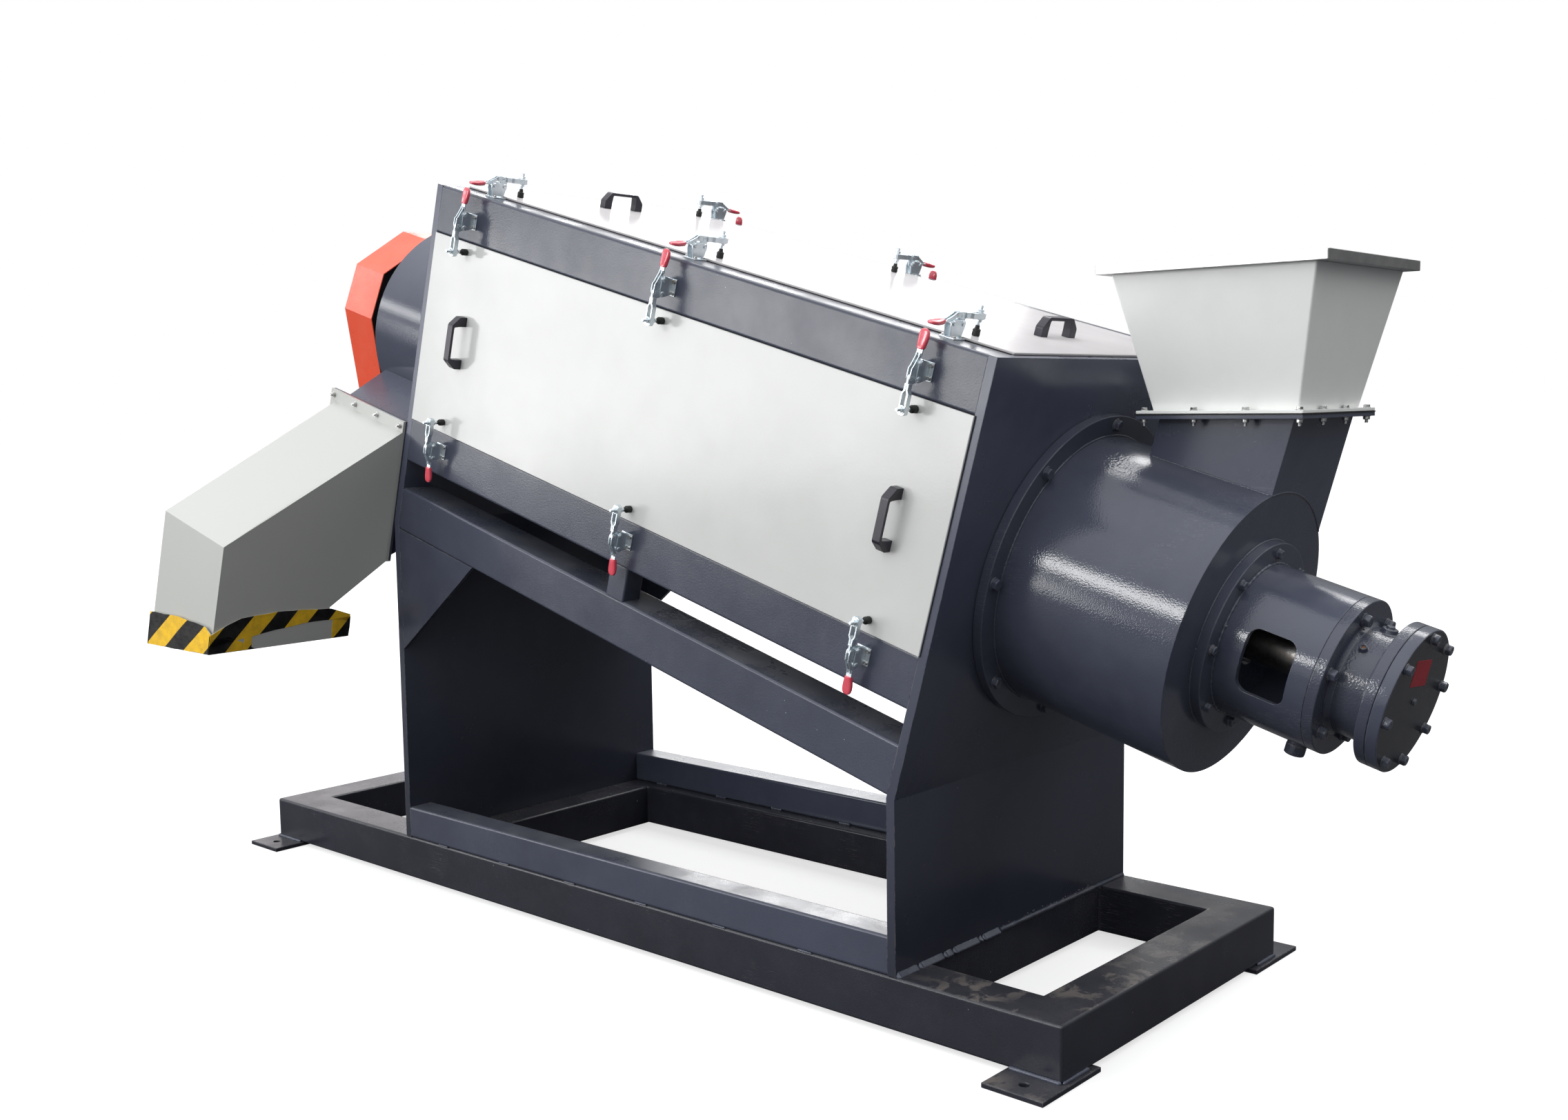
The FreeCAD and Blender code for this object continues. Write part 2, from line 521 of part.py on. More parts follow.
def frustum(name, ax, ay, bx, by, z0, z1):
    w = wedge(name, ZERO, -ax / 2, ax / 2, -ay / 2, ay / 2, z1 - z0, -bx / 2, bx / 2, -by / 2, by / 2)
    place(w, HXC, HYC, z0, Rotation(Vector(1, 0, 0), 90))
    return w


hb_o = frustum("hb_o", q("hopper_bot_x"), q("hopper_bot_y"), q("hopper_top_x"), q("hopper_top_y"), HLZ, HHZ)
hb_i = frustum("hb_i", q("hopper_bot_x") - 2 * HW, q("hopper_bot_y") - 2 * HW, q("hopper_top_x") - 2 * HW, q("hopper_top_y") - 2 * HW, HLZ, HHZ)
hf_o = box("hf_o", HXC - FX, HXC + FX, HYC - FY, HYC + FY, HLZ, HLZ + FT)
hf_i = box("hf_i", HXC - q("hopper_bot_x") / 2 + HW, HXC + q("hopper_bot_x") / 2 - HW, HYC - q("hopper_bot_y") / 2 + HW, HYC + q("hopper_bot_y") / 2 - HW, HLZ - 5, HLZ + FT + 5)
node(fuse("hopper", [cut("hopper_wall_solid", hb_o, hb_i), cut("hopper_flange", hf_o, hf_i)]), "hopper_body")
rim_o = box("rim_o", HXC - q("rim_x") / 2, HXC + q("rim_x") / 2, HYC - q("rim_y") / 2, HYC + q("rim_y") / 2, HHZ, HHZ + q("rim_ht"))
rim_i = box("rim_i", HXC - q("hopper_top_x") / 2 + HW, HXC + q("hopper_top_x") / 2 - HW, HYC - q("hopper_top_y") / 2 + HW, HYC + q("hopper_top_y") / 2 - HW, HHZ - 5, HHZ + q("rim_ht") + 5)
node(cut("rim", rim_o, rim_i), "hopper_rim")

# bearing end, all on the rotor axis
SE = IL + q("seal_thk")
PM = q("ped_mid")
node(incline(cut("seal", cyl("seal_o", "x", q("seal_rad"), IL, SE, ZERO, AV), cyl("seal_i", "x", q("seal_bore"), IL - 5, SE + 5, ZERO, AV))), "shaft_seal_flange")
PR2, PW = q("ped_rad"), q("ped_wall")
ped_o = cyl("ped_o", "x", PR2, SE, q("ped_end"), ZERO, AV)
ped_i = cyl("ped_i", "x", PR2 - PW, SE - 5, q("ped_end") - q("ped_flange"), ZERO, AV)
ped_h = cyl("ped_h", "x", q("seal_bore"), SE, q("ped_end") + 5, ZERO, AV)
wa, wb, wh, wr = q("ped_win_a"), q("ped_win_b"), q("ped_win_ht") / 2, q("ped_win_r")
win = fuse("ped_w", [box("ped_w1", wa, wb, ZERO - 400, ZERO + 400, AV - wh + wr, AV + wh - wr),
                     box("ped_w2", wa + wr, wb - wr, ZERO - 400, ZERO + 400, AV - wh, AV + wh)] +
           [cyl("ped_wc%d" % i, "y", wr, ZERO - 400, ZERO + 400, a, b)
            for i, (a, b) in enumerate(((wa + wr, AV - wh + wr), (wb - wr, AV - wh + wr), (wb - wr, AV + wh - wr), (wa + wr, AV + wh - wr)))])
node(incline(cuts("pedestal", ped_o, [ped_i, ped_h, win])), "bearing_pedestal")
PE = q("ped_end")
bh = fuse("bh_o", [cyl("bh_f", "x", PR2, PE, PE + q("house_fl_thk"), ZERO, AV), cyl("bh_c", "x", q("house_rad"), PE, q("house_end"), ZERO, AV),
                   cyl("bh_e", "x", q("cover_rad"), q("house_end") - 1, q("house_end") + 22, ZERO, AV)])
node(incline(cut("bearing_house", bh, cyl("bh_i", "x", q("shaft_hole"), PE - 5, q("house_end") + 40, ZERO, AV))), "bearing_housing")
cap = cut("bearing_cap", cyl("cap_o", "x", q("cover_rad"), q("house_end") + 22, q("cover_end"), ZERO, AV),
          cyl("cap_i", "x", q("shaft_rad") + 8, q("house_end"), q("cover_end") - 10, ZERO, AV))
CB, CE = q("cap_bolt_ring"), q("cover_end")
heads = []
for i, deg in enumerate((87, 39, -9, -59, -105, -146, 174, 132)):
    ca, sa = math.cos(math.radians(deg)), math.sin(math.radians(deg))
    heads.append(cyl("cap_bolt%d" % i, "x", q("cap_bolt_rad"), CE, CE + q("cap_bolt_ht"), -CB * ca, AV + CB * sa))
node(incline(bundle("bearing_cap_set", [cap] + heads)), "bearing_end_cover")
dr = cyl("drain_o", "z", q("drain_rad"), AV - PR2 - q("drain_len"), AV - PR2 + 2, q("drain_u"), ZERO)
node(incline(cut("drain", dr, cyl("drain_d", "x", PR2, PE - 200, PE + 10, ZERO, AV))), "drain_plug")

# ------------------------------------------------------------ discharge end
L0 = -DL
od_o = cyl("od_o", "x", DR, L0 - OL, L0, ZERO, AV)
od_i = cyl("od_i", "x", DR - DW, L0 - OL + DW, L0 + 5, ZERO, AV)
od_h = cyl("od_h", "x", q("seal_bore"), L0 - OL - 5, L0 - OL + DW + 5, ZERO, AV)
CU0, CU1 = q("chute_u0"), q("chute_u1")
FTK = q("chute_fl_thk")
sw_o = wedge("sw_o", -HY + FTK, CU0, CU1, q("chute_low"), q("chute_top"), ZERO - 200, L0 - OL, L0 - 6, ZERO + 39, ZERO + 400)
sw_i = wedge("sw_i", -HY, CU0 + 5, CU1 - 5, q("chute_low") + 5, q("chute_top") - 5, ZERO - 195, L0 - OL + 9, L0 - 12, ZERO + 46, ZERO + 394)
sw_c = wedge("sw_c", -HY, CU0 + 5, CU1 - 5, q("chute_low") + 5, q("chute_top") - 5, ZERO - 195, L0 - OL + 9, L0 - 12, ZERO + 46, ZERO + 394)
node(incline(cuts("outlet_drum_body", od_o, [od_i, od_h, sw_c])), "outlet_drum")
sw_d = cyl("sw_d", "x", DR, L0 - OL - 5, L0 + 5, ZERO, AV)
ofl_o = box("ofl_o", q("chute_fl_u0"), q("chute_fl_u1"), -HY, -HY + FTK, q("chute_fl_low"), q("chute_fl_top"))
ofl_i = box("ofl_i", CU0 + 5, CU1 - 5, -HY - 5, -HY + FTK + 5, q("chute_low") + 5, q("chute_top") - 5)
node(incline(cuts("outlet_spout_body", fuse("osp", [sw_o, ofl_o]), [sw_i, sw_d, ofl_i])), "outlet_spout")

CF, CW = -HY - FTK, q("chute_wall")
BY, BV, FYY, KY, KV = q("chute_bend_y"), q("chute_bend_v"), q("chute_front_y"), q("chute_back_y"), q("chute_back_v")
LOWV = ZERO - 520
ch_o = profile("ch_o", "YZ_Plane", [(CF, q("chute_top")), (BY, BV), (FYY, LOWV), (KY, LOWV), (KY, KV), (CF, q("chute_low"))], CU0, CU1)
ch_i = profile("ch_i", "YZ_Plane", [(CF + 5, q("chute_top") - CW), (BY + CW, BV - CW), (FYY + CW, LOWV - 5), (KY - CW, LOWV - 5), (KY - CW, KV + CW), (CF + 5, q("chute_low") + CW + 4)], CU0 + CW, CU1 - CW)
cfl_o = box("cfl_o", q("chute_fl_u0"), q("chute_fl_u1"), CF, -HY, q("chute_fl_low"), q("chute_fl_top"))
cfl_i = box("cfl_i", CU0 + CW, CU1 - CW, CF - 5, -HY + 5, q("chute_low") + CW + 4, q("chute_top") - CW)


def level_box(name, z0, z1, y0, y1):
    """A world-level slab, drawn in the inclined frame near the chute."""
    b = box(name, ZERO - 900, ZERO + 900, y0, y1, ZERO, z1 - z0)
    # it sits on the line where z = z0 crosses u = chute_u1
    vv = (z0 - KZ + CU1 * S) / C
    b.Placement = Placement(Vector(CU1.v, num(y0), vv.v), Rotation(Vector(0, -1, 0), q("tilt").v))
    b.Length = 1800
    bind(b, "Placement.Base.x", CU1 - 900 * C)
    bind(b, "Placement.Base.z", vv - 900 * S)
    bind(b, "Placement.Base.y", y0)
    b.setExpression("Placement.Rotation.Angle", "dims.tilt")
    return b


cut_low = level_box("cut_low", q("mouth_z") - 600, q("mouth_z"), ZERO - 1300, ZERO - 300)
node(incline(cuts("chute_solid", fuse("chute_all", [ch_o, cfl_o]), [ch_i, cfl_i, cut_low])), "chute")
LT = q("lip_thk")
lip_slab = level_box("lip_slab", q("mouth_z"), q("mouth_top_z"), ZERO - 1300, ZERO - 300)
lip_o = profile("lip_o", "YZ_Plane", [(FYY - LT, ZERO - 100), (q("lip_back_y"), ZERO - 100), (q("lip_back_y"), LOWV), (FYY - LT, LOWV)], CU0 - LT, CU1 + LT)
lip_i = profile("lip_i", "YZ_Plane", [(FYY, ZERO), (KY, ZERO), (KY, LOWV - 9), (FYY, LOWV - 9)], CU0, CU1)
lip_j = profile("lip_j", "YZ_Plane", [(KY - 5, KV - 60), (q("lip_back_y") - LT, KV - 95), (q("lip_back_y") - LT, LOWV - 9), (KY - 5, LOWV - 9)], CU0, CU1)
node(incline(cuts("lip", common("lip_band", lip_o, lip_slab), [lip_i, lip_j])), "chute_mouth_collar")

# drive end: bearing block, pulley and its guard
G0, G1, GWL = q("guard_u0"), q("guard_u1"), q("guard_wall")
GP = [(-148, 766), (-305, 653), (-330, 510), (-170, 30), (170, 30), (330, 510), (305, 653), (148, 766)]
GI = [(-147, 763), (-302, 651.5), (-326.8, 510), (-167.6, 33), (167.6, 33), (326.8, 510), (302, 651.5), (147, 763)]
g_o = profile("g_o", "YZ_Plane", [(ZERO + a, ZERO + b) for a, b in GP], G0, G1)
g_i = profile("g_i", "YZ_Plane", [(ZERO + a, ZERO + b) for a, b in GI], G0 + GWL, G1 + 5)
node(incline(cut("guard", g_o, g_i)), "pulley_guard")
gb = profile("gb", "YZ_Plane", [(ZERO + a, ZERO + b) for a, b in GI], G1 - q("guard_back"), G1 - q("guard_back") + 5)
node(incline(cut("guard_back", gb, cyl("gb_h", "x", q("seal_bore"), G1 - 60, G1 + 60, ZERO, AV))), "guard_back_plate")
node(incline(cut("drive_bearing", cyl("db_o", "x", q("drive_rad"), G1 - q("guard_back") + 5, L0 - OL, ZERO, AV),
                 cyl("db_i", "x", q("shaft_hole"), G1 - 80, L0 - OL + 5, ZERO, AV))), "drive_bearing_housing")
node(incline(fuse("rotor", [cyl("shaft", "x", q("shaft_rad"), G0 + 20, q("cover_end") - 14, ZERO, AV),
                            cyl("core", "x", q("rotor_rad"), L0 + 20, ZERO - 60, ZERO, AV),
                            cyl("pulley", "x", q("pulley_rad"), G0 + 22, G0 + 22 + q("pulley_wid"), ZERO, AV)])), "rotor")

doc.recompute()

# ------------------------------------------------------------ checks, export
bad = []
for o in doc.Objects:
    if "Invalid" in o.State or "Error" in o.State:
        bad.append((o.Name, list(o.State)))
names = set()
for o in NODES:
    s = o.Shape
    if s.isNull() or not s.isValid() or s.Volume <= 0 or not s.Solids:
        bad.append((o.Label, "shape"))
    names.add(o.Label)
if bad or len(names) != len(NODES):
    raise RuntimeError("failed objects: %s" % bad)
for o in NODES:
    o.Shape.exportStep(os.path.join("parts", o.Label + ".step"))
    print(o.Label, len(o.Shape.Solids), round(o.Shape.Volume / 1e6, 3))
print(len(NODES), "nodes")
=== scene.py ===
import bpy, bmesh, math, random
from mathutils import Matrix, Vector


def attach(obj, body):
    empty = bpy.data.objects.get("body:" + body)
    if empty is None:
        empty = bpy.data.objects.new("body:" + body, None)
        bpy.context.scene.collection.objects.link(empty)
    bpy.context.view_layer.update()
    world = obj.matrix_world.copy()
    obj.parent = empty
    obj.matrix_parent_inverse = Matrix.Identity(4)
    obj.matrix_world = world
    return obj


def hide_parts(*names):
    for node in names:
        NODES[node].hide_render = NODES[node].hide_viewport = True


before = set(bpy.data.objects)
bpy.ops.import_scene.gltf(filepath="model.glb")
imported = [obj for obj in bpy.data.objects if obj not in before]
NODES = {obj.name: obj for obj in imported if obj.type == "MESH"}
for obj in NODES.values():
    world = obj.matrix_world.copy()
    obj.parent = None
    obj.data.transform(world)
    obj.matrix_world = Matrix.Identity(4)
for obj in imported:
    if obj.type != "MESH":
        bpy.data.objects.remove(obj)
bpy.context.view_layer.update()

# ------------------------------------------------------------------ frames
# All shapes are written in millimetres, either on the floor frame (WORLD) or
# in the machine's inclined frame (INC: x along the rotor, z square to it).
MM = Matrix.Scale(0.001, 4)


def rot(axis, deg):
    return Matrix.Rotation(math.radians(deg), 4, axis)


def tr(x, y, z):
    return Matrix.Translation((x, y, z))


TILT = 15.866
WORLD = MM
INC = tr(1.069, 0, 0.540) @ rot("Y", TILT) @ MM
ST, CT = math.sin(math.radians(TILT)), math.cos(math.radians(TILT))
AV = 505.0          # rotor axis height in the inclined frame
L0 = -1928.8        # outer face of the discharge end plate


def inc_x(u, v):
    return 1069 + u * CT + v * ST


# ------------------------------------------------------------------ shapes
class Shape:
    """Collects vertices and faces; one Shape becomes one mesh."""

    def __init__(self):
        self.v, self.f, self.m = [], [], []

    def add(self, verts, faces, M, mat=0):
        base = len(self.v)
        self.v += [tuple(M @ Vector(p)) for p in verts]
        flip = M.determinant() < 0
        for f in faces:
            ids = [base + i for i in f]
            if flip:
                ids.reverse()
            self.f.append(ids)
            self.m.append(mat)

    def add_bm(self, bm, M, mat=0):
        bm.verts.index_update()
        self.add([v.co.copy() for v in bm.verts], [[v.index for v in f.verts] for f in bm.faces], M, mat)
        bm.free()


def box(S, M, x0, x1, y0, y1, z0, z1, bev=1.0, seg=2, mat=0):
    bm = bmesh.new()
    bmesh.ops.create_cube(bm, size=1.0)
    for v in bm.verts:
        v.co = Vector((x0 if v.co.x < 0 else x1, y0 if v.co.y < 0 else y1, z0 if v.co.z < 0 else z1))
    if bev > 0:
        bmesh.ops.bevel(bm, geom=list(bm.edges), offset=bev, segments=seg, profile=0.5, affect="EDGES")
    S.add_bm(bm, M, mat)


def fillet(pts, r, n=3, skip=()):
    """Round the corners of a closed 2-D outline."""
    out = []
    k = len(pts)
    for i, p in enumerate(pts):
        a, b = Vector(pts[i - 1]), Vector(pts[(i + 1) % k])
        p = Vector(p)
        ri = r[i] if isinstance(r, (list, tuple)) else r
        if ri <= 0 or i in skip:
            out.append(tuple(p))
            continue
        da, db = (a - p), (b - p)
        la, lb = da.length, db.length
        d = min(ri, la * 0.45, lb * 0.45)
        p0, p1 = p + da * (d / la), p + db * (d / lb)
        for j in range(n + 1):
            t = j / n
            out.append(tuple(p0 * (1 - t) ** 2 + p * 2 * t * (1 - t) + p1 * t ** 2))
    return out


def prism(S, M, pts, plane, a, b, bev=0.8, seg=2, mat=0):
    """A closed outline swept from a to b.  plane 'xz' sweeps along y, 'yz'
    along x, 'xy' along z."""
    def at(p, w):
        return {"xz": (p[0], w, p[1]), "yz": (w, p[0], p[1]), "xy": (p[0], p[1], w)}[plane]
    bm = bmesh.new()
    lo = [bm.verts.new(at(p, a)) for p in pts]
    hi = [bm.verts.new(at(p, b)) for p in pts]
    n = len(pts)
    bm.faces.new(lo)
    bm.faces.new(list(reversed(hi)))
    for i in range(n):
        j = (i + 1) % n
        bm.faces.new([lo[j], lo[i], hi[i], hi[j]])
    bmesh.ops.recalc_face_normals(bm, faces=bm.faces)
    if bev > 0:
        sharp = [e for e in bm.edges if len(e.link_faces) == 2 and e.calc_face_angle(0) > math.radians(28)]
        bmesh.ops.bevel(bm, geom=sharp, offset=bev, segments=seg, profile=0.5, affect="EDGES", clamp_overlap=True)
    S.add_bm(bm, M, mat)


def loft(S, M, loops, mat=0, closed=False, caps=True, mats=None):
    """Skin through loops of equal count; closed joins the last to the first."""
    verts, faces, n = [], [], len(loops[0])
    for lp in loops:
        verts += lp
    rows = len(loops)
    for i in range(rows if closed else rows - 1):
        j = (i + 1) % rows
        for k in range(n):
            l = (k + 1) % n
            faces.append([i * n + k, i * n + l, j * n + l, j * n + k])
    if caps and not closed:
        faces.append(list(reversed(range(n))))
        faces.append([(rows - 1) * n + k for k in range(n)])
    # outward check by signed volume
    vol = 0.0
    for f in faces:
        p0 = Vector(verts[f[0]])
        for q in range(1, len(f) - 1):
            vol += p0.dot(Vector(verts[f[q]]).cross(Vector(verts[f[q + 1]])))
    if vol < 0:
        faces = [list(reversed(f)) for f in faces]
    S.add(verts, faces, M, mat)


def rrect(cx, cy, w, h, r, z, n=4):
    """Rounded rectangle loop at height z."""
    out = []
    for sx, sy, a0 in ((1, 1, 0), (-1, 1, 90), (-1, -1, 180), (1, -1, 270)):
        for j in range(n + 1):
            a = math.radians(a0 + 90.0 * j / n)
            out.append((cx + sx * (w / 2 - r) + r * math.cos(a), cy + sy * (h / 2 - r) + r * math.sin(a), z))
    return out


def lathe(S, M, prof, cy=0.0, cz=0.0, seg=96, mat=0, closed=True, start=0.0, wob=None):
    """Turn a profile of (x, r) about the x axis through (cy, cz).  A closed
    profile is a ring; an open one has its ends on the axis (r = 0)."""
    verts, faces = [], []
    rows = []
    for i, (x, r) in enumerate(prof):
        if r <= 1e-6:
            rows.append([len(verts)])
            verts.append((x, cy, cz))
        else:
            row = []
            for k in range(seg):
                a = start + 2 * math.pi * k / seg
                rr = r + (wob(i, a) if wob else 0)
                row.append(len(verts))
                verts.append((x, cy - rr * math.cos(a), cz + rr * math.sin(a)))
            rows.append(row)
    cnt = len(rows)
    for i in range(cnt if closed else cnt - 1):
        a, b = rows[i], rows[(i + 1) % cnt]
        for k in range(seg):
            l = (k + 1) % seg
            if len(a) == 1 and len(b) == 1:
                continue
            if len(a) == 1:
                faces.append([a[0], b[l], b[k]])
            elif len(b) == 1:
                faces.append([a[k], a[l], b[0]])
            else:
                faces.append([a[k], a[l], b[l], b[k]])
    vol = 0.0
    for f in faces:
        p0 = Vector(verts[f[0]])
        for q in range(1, len(f) - 1):
            vol += p0.dot(Vector(verts[f[q]]).cross(Vector(verts[f[q + 1]])))
    if vol < 0:
        faces = [list(reversed(f)) for f in faces]
    S.add(verts, faces, M, mat)


def ring(x0, x1, r0, r1, bev=1.5, n=2):
    """Profile of a ring with its outer corners eased."""
    return fillet([(x0, r0), (x0, r1), (x1, r1), (x1, r0)], [0, bev, bev, 0], n)


def disc(x0, x1, r, bev=1.0, n=2):
    """Open profile of a solid disc with both edges eased."""
    arc = [(1 - math.cos(math.pi / 2 * j / n), math.sin(math.pi / 2 * j / n)) for j in range(n + 1)]
    pts = [(x0, 0.0)] + [(x0 + bev * p, r - bev + bev * q) for p, q in arc]
    pts += [(x1 - bev * p, r - bev + bev * q) for p, q in reversed(arc)]
    return pts + [(x1, 0.0)]


ALONG_Z = rot("Y", -90)      # turns a lathe's +x into +z


def hexbolt(S, M, af=24.0, h=10.0, wr=15.0, wt=3.0, mat=0, spin=0.0, mark=True):
    """Hex head on a washer; M puts its foot on the surface with +z out."""
    if wr > 0:
        lathe(S, M @ ALONG_Z, disc(0, wt, wr, 0.6), seg=28, mat=mat)
    R = af / math.sqrt(3)
    ins = af / 2
    loops = []
    n = 24
    ch = h * 0.16
    for z, k in ((wt, 0.97), (wt + 0.4, 1.0), (wt + h - ch, 1.0), (wt + h, 0.86), (wt + h, 0.45), (wt + h - 0.5, 0.40)):
        lp = []
        for j in range(n):
            a = 2 * math.pi * j / n + spin
            # hexagon radius in this direction
            b = (a - spin) % (math.pi / 3) - math.pi / 6
            rh = ins / math.cos(b)
            if k < 1.0 and z > wt + 1:
                rh = min(rh, ins * 1.0) * k if k < 0.8 else min(rh, ins * 0.97)
            else:
                rh = min(rh * k, R * 0.985)
            lp.append((rh * math.cos(a), rh * math.sin(a), z))
        loops.append(lp)
    loft(S, M, loops, mat)


def nut(S, M, af=13.0, h=6.5, mat=0, stub=0.0, rod=4.0, spin=0.0):
    R = af / math.sqrt(3)
    ins = af / 2
    n = 24
    loops = []
    for z, rnd in ((0, 1), (h * 0.14, 0), (h * 0.86, 0), (h, 1)):
        lp = []
        for j in range(n):
            a = 2 * math.pi * j / n + spin
            b = (a - spin) % (math.pi / 3) - math.pi / 6
            rh = ins / math.cos(b)
            rh = min(rh, ins * 0.97) if rnd else min(rh, R * 0.985)
            lp.append((rh * math.cos(a), rh * math.sin(a), z))
        loops.append(lp)
    loft(S, M, loops, mat)
    if stub > 0:
        thread(S, M, rod, h - 0.5, h + stub, mat)


def thread(S, M, r, z0, z1, mat=0, pitch=1.5, seg=12, depth=0.55):
    prof = [(z0, 0.0), (z0, r - depth)]
    z = z0 + 0.4
    while z < z1 - pitch:
        prof += [(z, r), (z + pitch * 0.25, r), (z + pitch * 0.5, r - depth), (z + pitch * 0.85, r - depth)]
        z += pitch
    prof += [(z1, r - depth), (z1, 0.0)]
    lathe(S, M @ ALONG_Z, prof, seg=seg, mat=mat, closed=False)


def bead(S, M, pts, r, mat=0, seed=1, step=3.0, seg=8, ripple=0.16, pitch=5.0, flat=1.0, up=(0, 0, 1)):
    """A weld bead along a polyline."""
    rnd = random.Random(seed)
    P = [Vector(p) for p in pts]
    path, s = [], 0.0
    for a, b in zip(P[:-1], P[1:]):
        L = (b - a).length
        k = max(1, int(L / step))
        for i in range(k):
            path.append((a.lerp(b, i / k), s + L * i / k))
        s += L
    path.append((P[-1], s))
    total = s
    n = len(path)
    loops = []
    ph = rnd.random() * 6
    drift = [rnd.gauss(0, 1) for _ in range(n // 6 + 4)]
    for i, (p, s) in enumerate(path):
        d = (path[min(i + 1, n - 1)][0] - path[max(i - 1, 0)][0]).normalized()
        upv = Vector(up)
        if abs(d.dot(upv)) > 0.95:
            upv = Vector((1, 0, 0))
        x = d.cross(upv).normalized()
        y = x.cross(d).normalized()
        e = min(1.0, min(s, total - s) / (r * 0.8) + 0.25)
        k = s / (step * 6)
        q0, q1 = int(k), min(int(k) + 1, len(drift) - 1)
        w = drift[min(q0, len(drift) - 1)] * (1 - (k - int(k))) + drift[q1] * (k - int(k))
        rr = r * e * (1 + ripple * math.sin(2 * math.pi * s / pitch + ph) + 0.10 * w)
        lp = []
        for j in range(seg):
            a = 2 * math.pi * j / seg
            lp.append(tuple(p + x * rr * math.cos(a) + y * rr * flat * math.sin(a)))
        loops.append(lp)
    loft(S, M, loops, mat)


def piece(name, S, mats, body="machine", stands_for=(), angle=40.0, weighted=True):
    me = bpy.data.meshes.new(name)
    me.from_pydata(S.v, [], S.f)
    for m in mats:
        me.materials.append(m)
    me.polygons.foreach_set("material_index", S.m)
    me.validate()
    me.update()
    me.shade_smooth()
    me.set_sharp_from_angle(angle=math.radians(angle))
    ob = bpy.data.objects.new(name, me)
    bpy.context.scene.collection.objects.link(ob)
    if weighted:
        md = ob.modifiers.new("wn", "WEIGHTED_NORMAL")
        md.mode = "FACE_AREA"
        md.weight = 80
        md.keep_sharp = True
        dg = bpy.context.evaluated_depsgraph_get()
        done = bpy.data.meshes.new_from_object(ob.evaluated_get(dg))
        ob.modifiers.clear()
        ob.data = done
        done.name = name
        bpy.data.meshes.remove(me)
    if stands_for:
        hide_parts(*stands_for)
    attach(ob, body)
    return ob


# --------------------------------------------------------------- materials
def lin(c):
    c = c / 255.0
    return c / 12.92 if c <= 0.04045 else ((c + 0.055) / 1.055) ** 2.4


def rgb(r, g, b):
    return (lin(r), lin(g), lin(b), 1.0)


class Mat:
    """A short way to write node trees."""

    def __init__(self, name):
        self.m = bpy.data.materials.new(name)
        self.m.use_nodes = True
        self.t = self.m.node_tree
        self.t.nodes.clear()
        self.out = self.n("ShaderNodeOutputMaterial")
        self.b = self.n("ShaderNodeBsdfPrincipled")
        self.link(self.b.outputs[0], self.out.inputs[0])
        self.co = self.n("ShaderNodeTexCoord").outputs["Object"]

    def n(self, kind, **kw):
        nd = self.t.nodes.new(kind)
        for k, v in kw.items():
            if k in nd.bl_rna.properties:
                setattr(nd, k, v)
            else:
                nd.inputs[k.replace("_", " ")].default_value = v
        return nd

    def link(self, a, b):
        self.t.links.new(a, b)

    def put(self, sock, val):
        if hasattr(val, "is_output"):
            self.link(val, sock)
        else:
            sock.default_value = val

    def noise(self, scale, detail=3.0, rough=0.5, stretch=None, dist=0.0, off=None):
        nd = self.n("ShaderNodeTexNoise", Scale=scale, Detail=detail, Roughness=rough, Distortion=dist)
        src = self.co
        if stretch or off:
            mp = self.n("ShaderNodeMapping")
            self.link(self.co, mp.inputs[0])
            if stretch:
                mp.inputs["Scale"].default_value = stretch
            if off:
                mp.inputs["Location"].default_value = off
            src = mp.outputs[0]
        self.link(src, nd.inputs["Vector"])
        return nd.outputs["Fac"]

    def remap(self, x, a, b, c=0.0, d=1.0, smooth=False):
        nd = self.n("ShaderNodeMapRange")
        nd.interpolation_type = "SMOOTHSTEP" if smooth else "LINEAR"
        self.put(nd.inputs["Value"], x)
        nd.inputs["From Min"].default_value = a
        nd.inputs["From Max"].default_value = b
        nd.inputs["To Min"].default_value = c
        nd.inputs["To Max"].default_value = d
        return nd.outputs[0]

    def math(self, op, a, b=0.0, clamp=False):
        nd = self.n("ShaderNodeMath", operation=op, use_clamp=clamp)
        self.put(nd.inputs[0], a)
        self.put(nd.inputs[1], b)
        return nd.outputs[0]

    def mix(self, f, a, b, blend="MIX"):
        nd = self.n("ShaderNodeMix", data_type="RGBA", blend_type=blend)
        self.put(nd.inputs[0], f)
        self.put(nd.inputs[6], a)
        self.put(nd.inputs[7], b)
        return nd.outputs[2]

    def bump(self, h, strength, dist, normal=None):
        nd = self.n("ShaderNodeBump")
        nd.inputs["Strength"].default_value = strength
        nd.inputs["Distance"].default_value = dist
        self.link(h, nd.inputs["Height"])
        if normal is not None:
            self.link(normal, nd.inputs["Normal"])
        return nd.outputs[0]

    def edges(self, radius=0.003):
        """1 on convex and concave edges, 0 on flats, and the eased normal."""
        bv = self.n("ShaderNodeBevel", samples=4)
        bv.inputs["Radius"].default_value = radius
        geo = self.n("ShaderNodeNewGeometry")
        dot = self.n("ShaderNodeVectorMath", operation="DOT_PRODUCT")
        self.link(bv.outputs[0], dot.inputs[0])
        self.link(geo.outputs["Normal"], dot.inputs[1])
        return self.remap(dot.outputs["Value"], 0.995, 0.86), bv.outputs[0]

    def up(self, lo=0.75, hi=0.98):
        geo = self.n("ShaderNodeNewGeometry")
        sep = self.n("ShaderNodeSeparateXYZ")
        self.link(geo.outputs["Normal"], sep.inputs[0])
        return self.remap(sep.outputs[2], lo, hi)

    def set(self, **kw):
        for k, v in kw.items():
            self.put(self.b.inputs[k.replace("_", " ")], v)


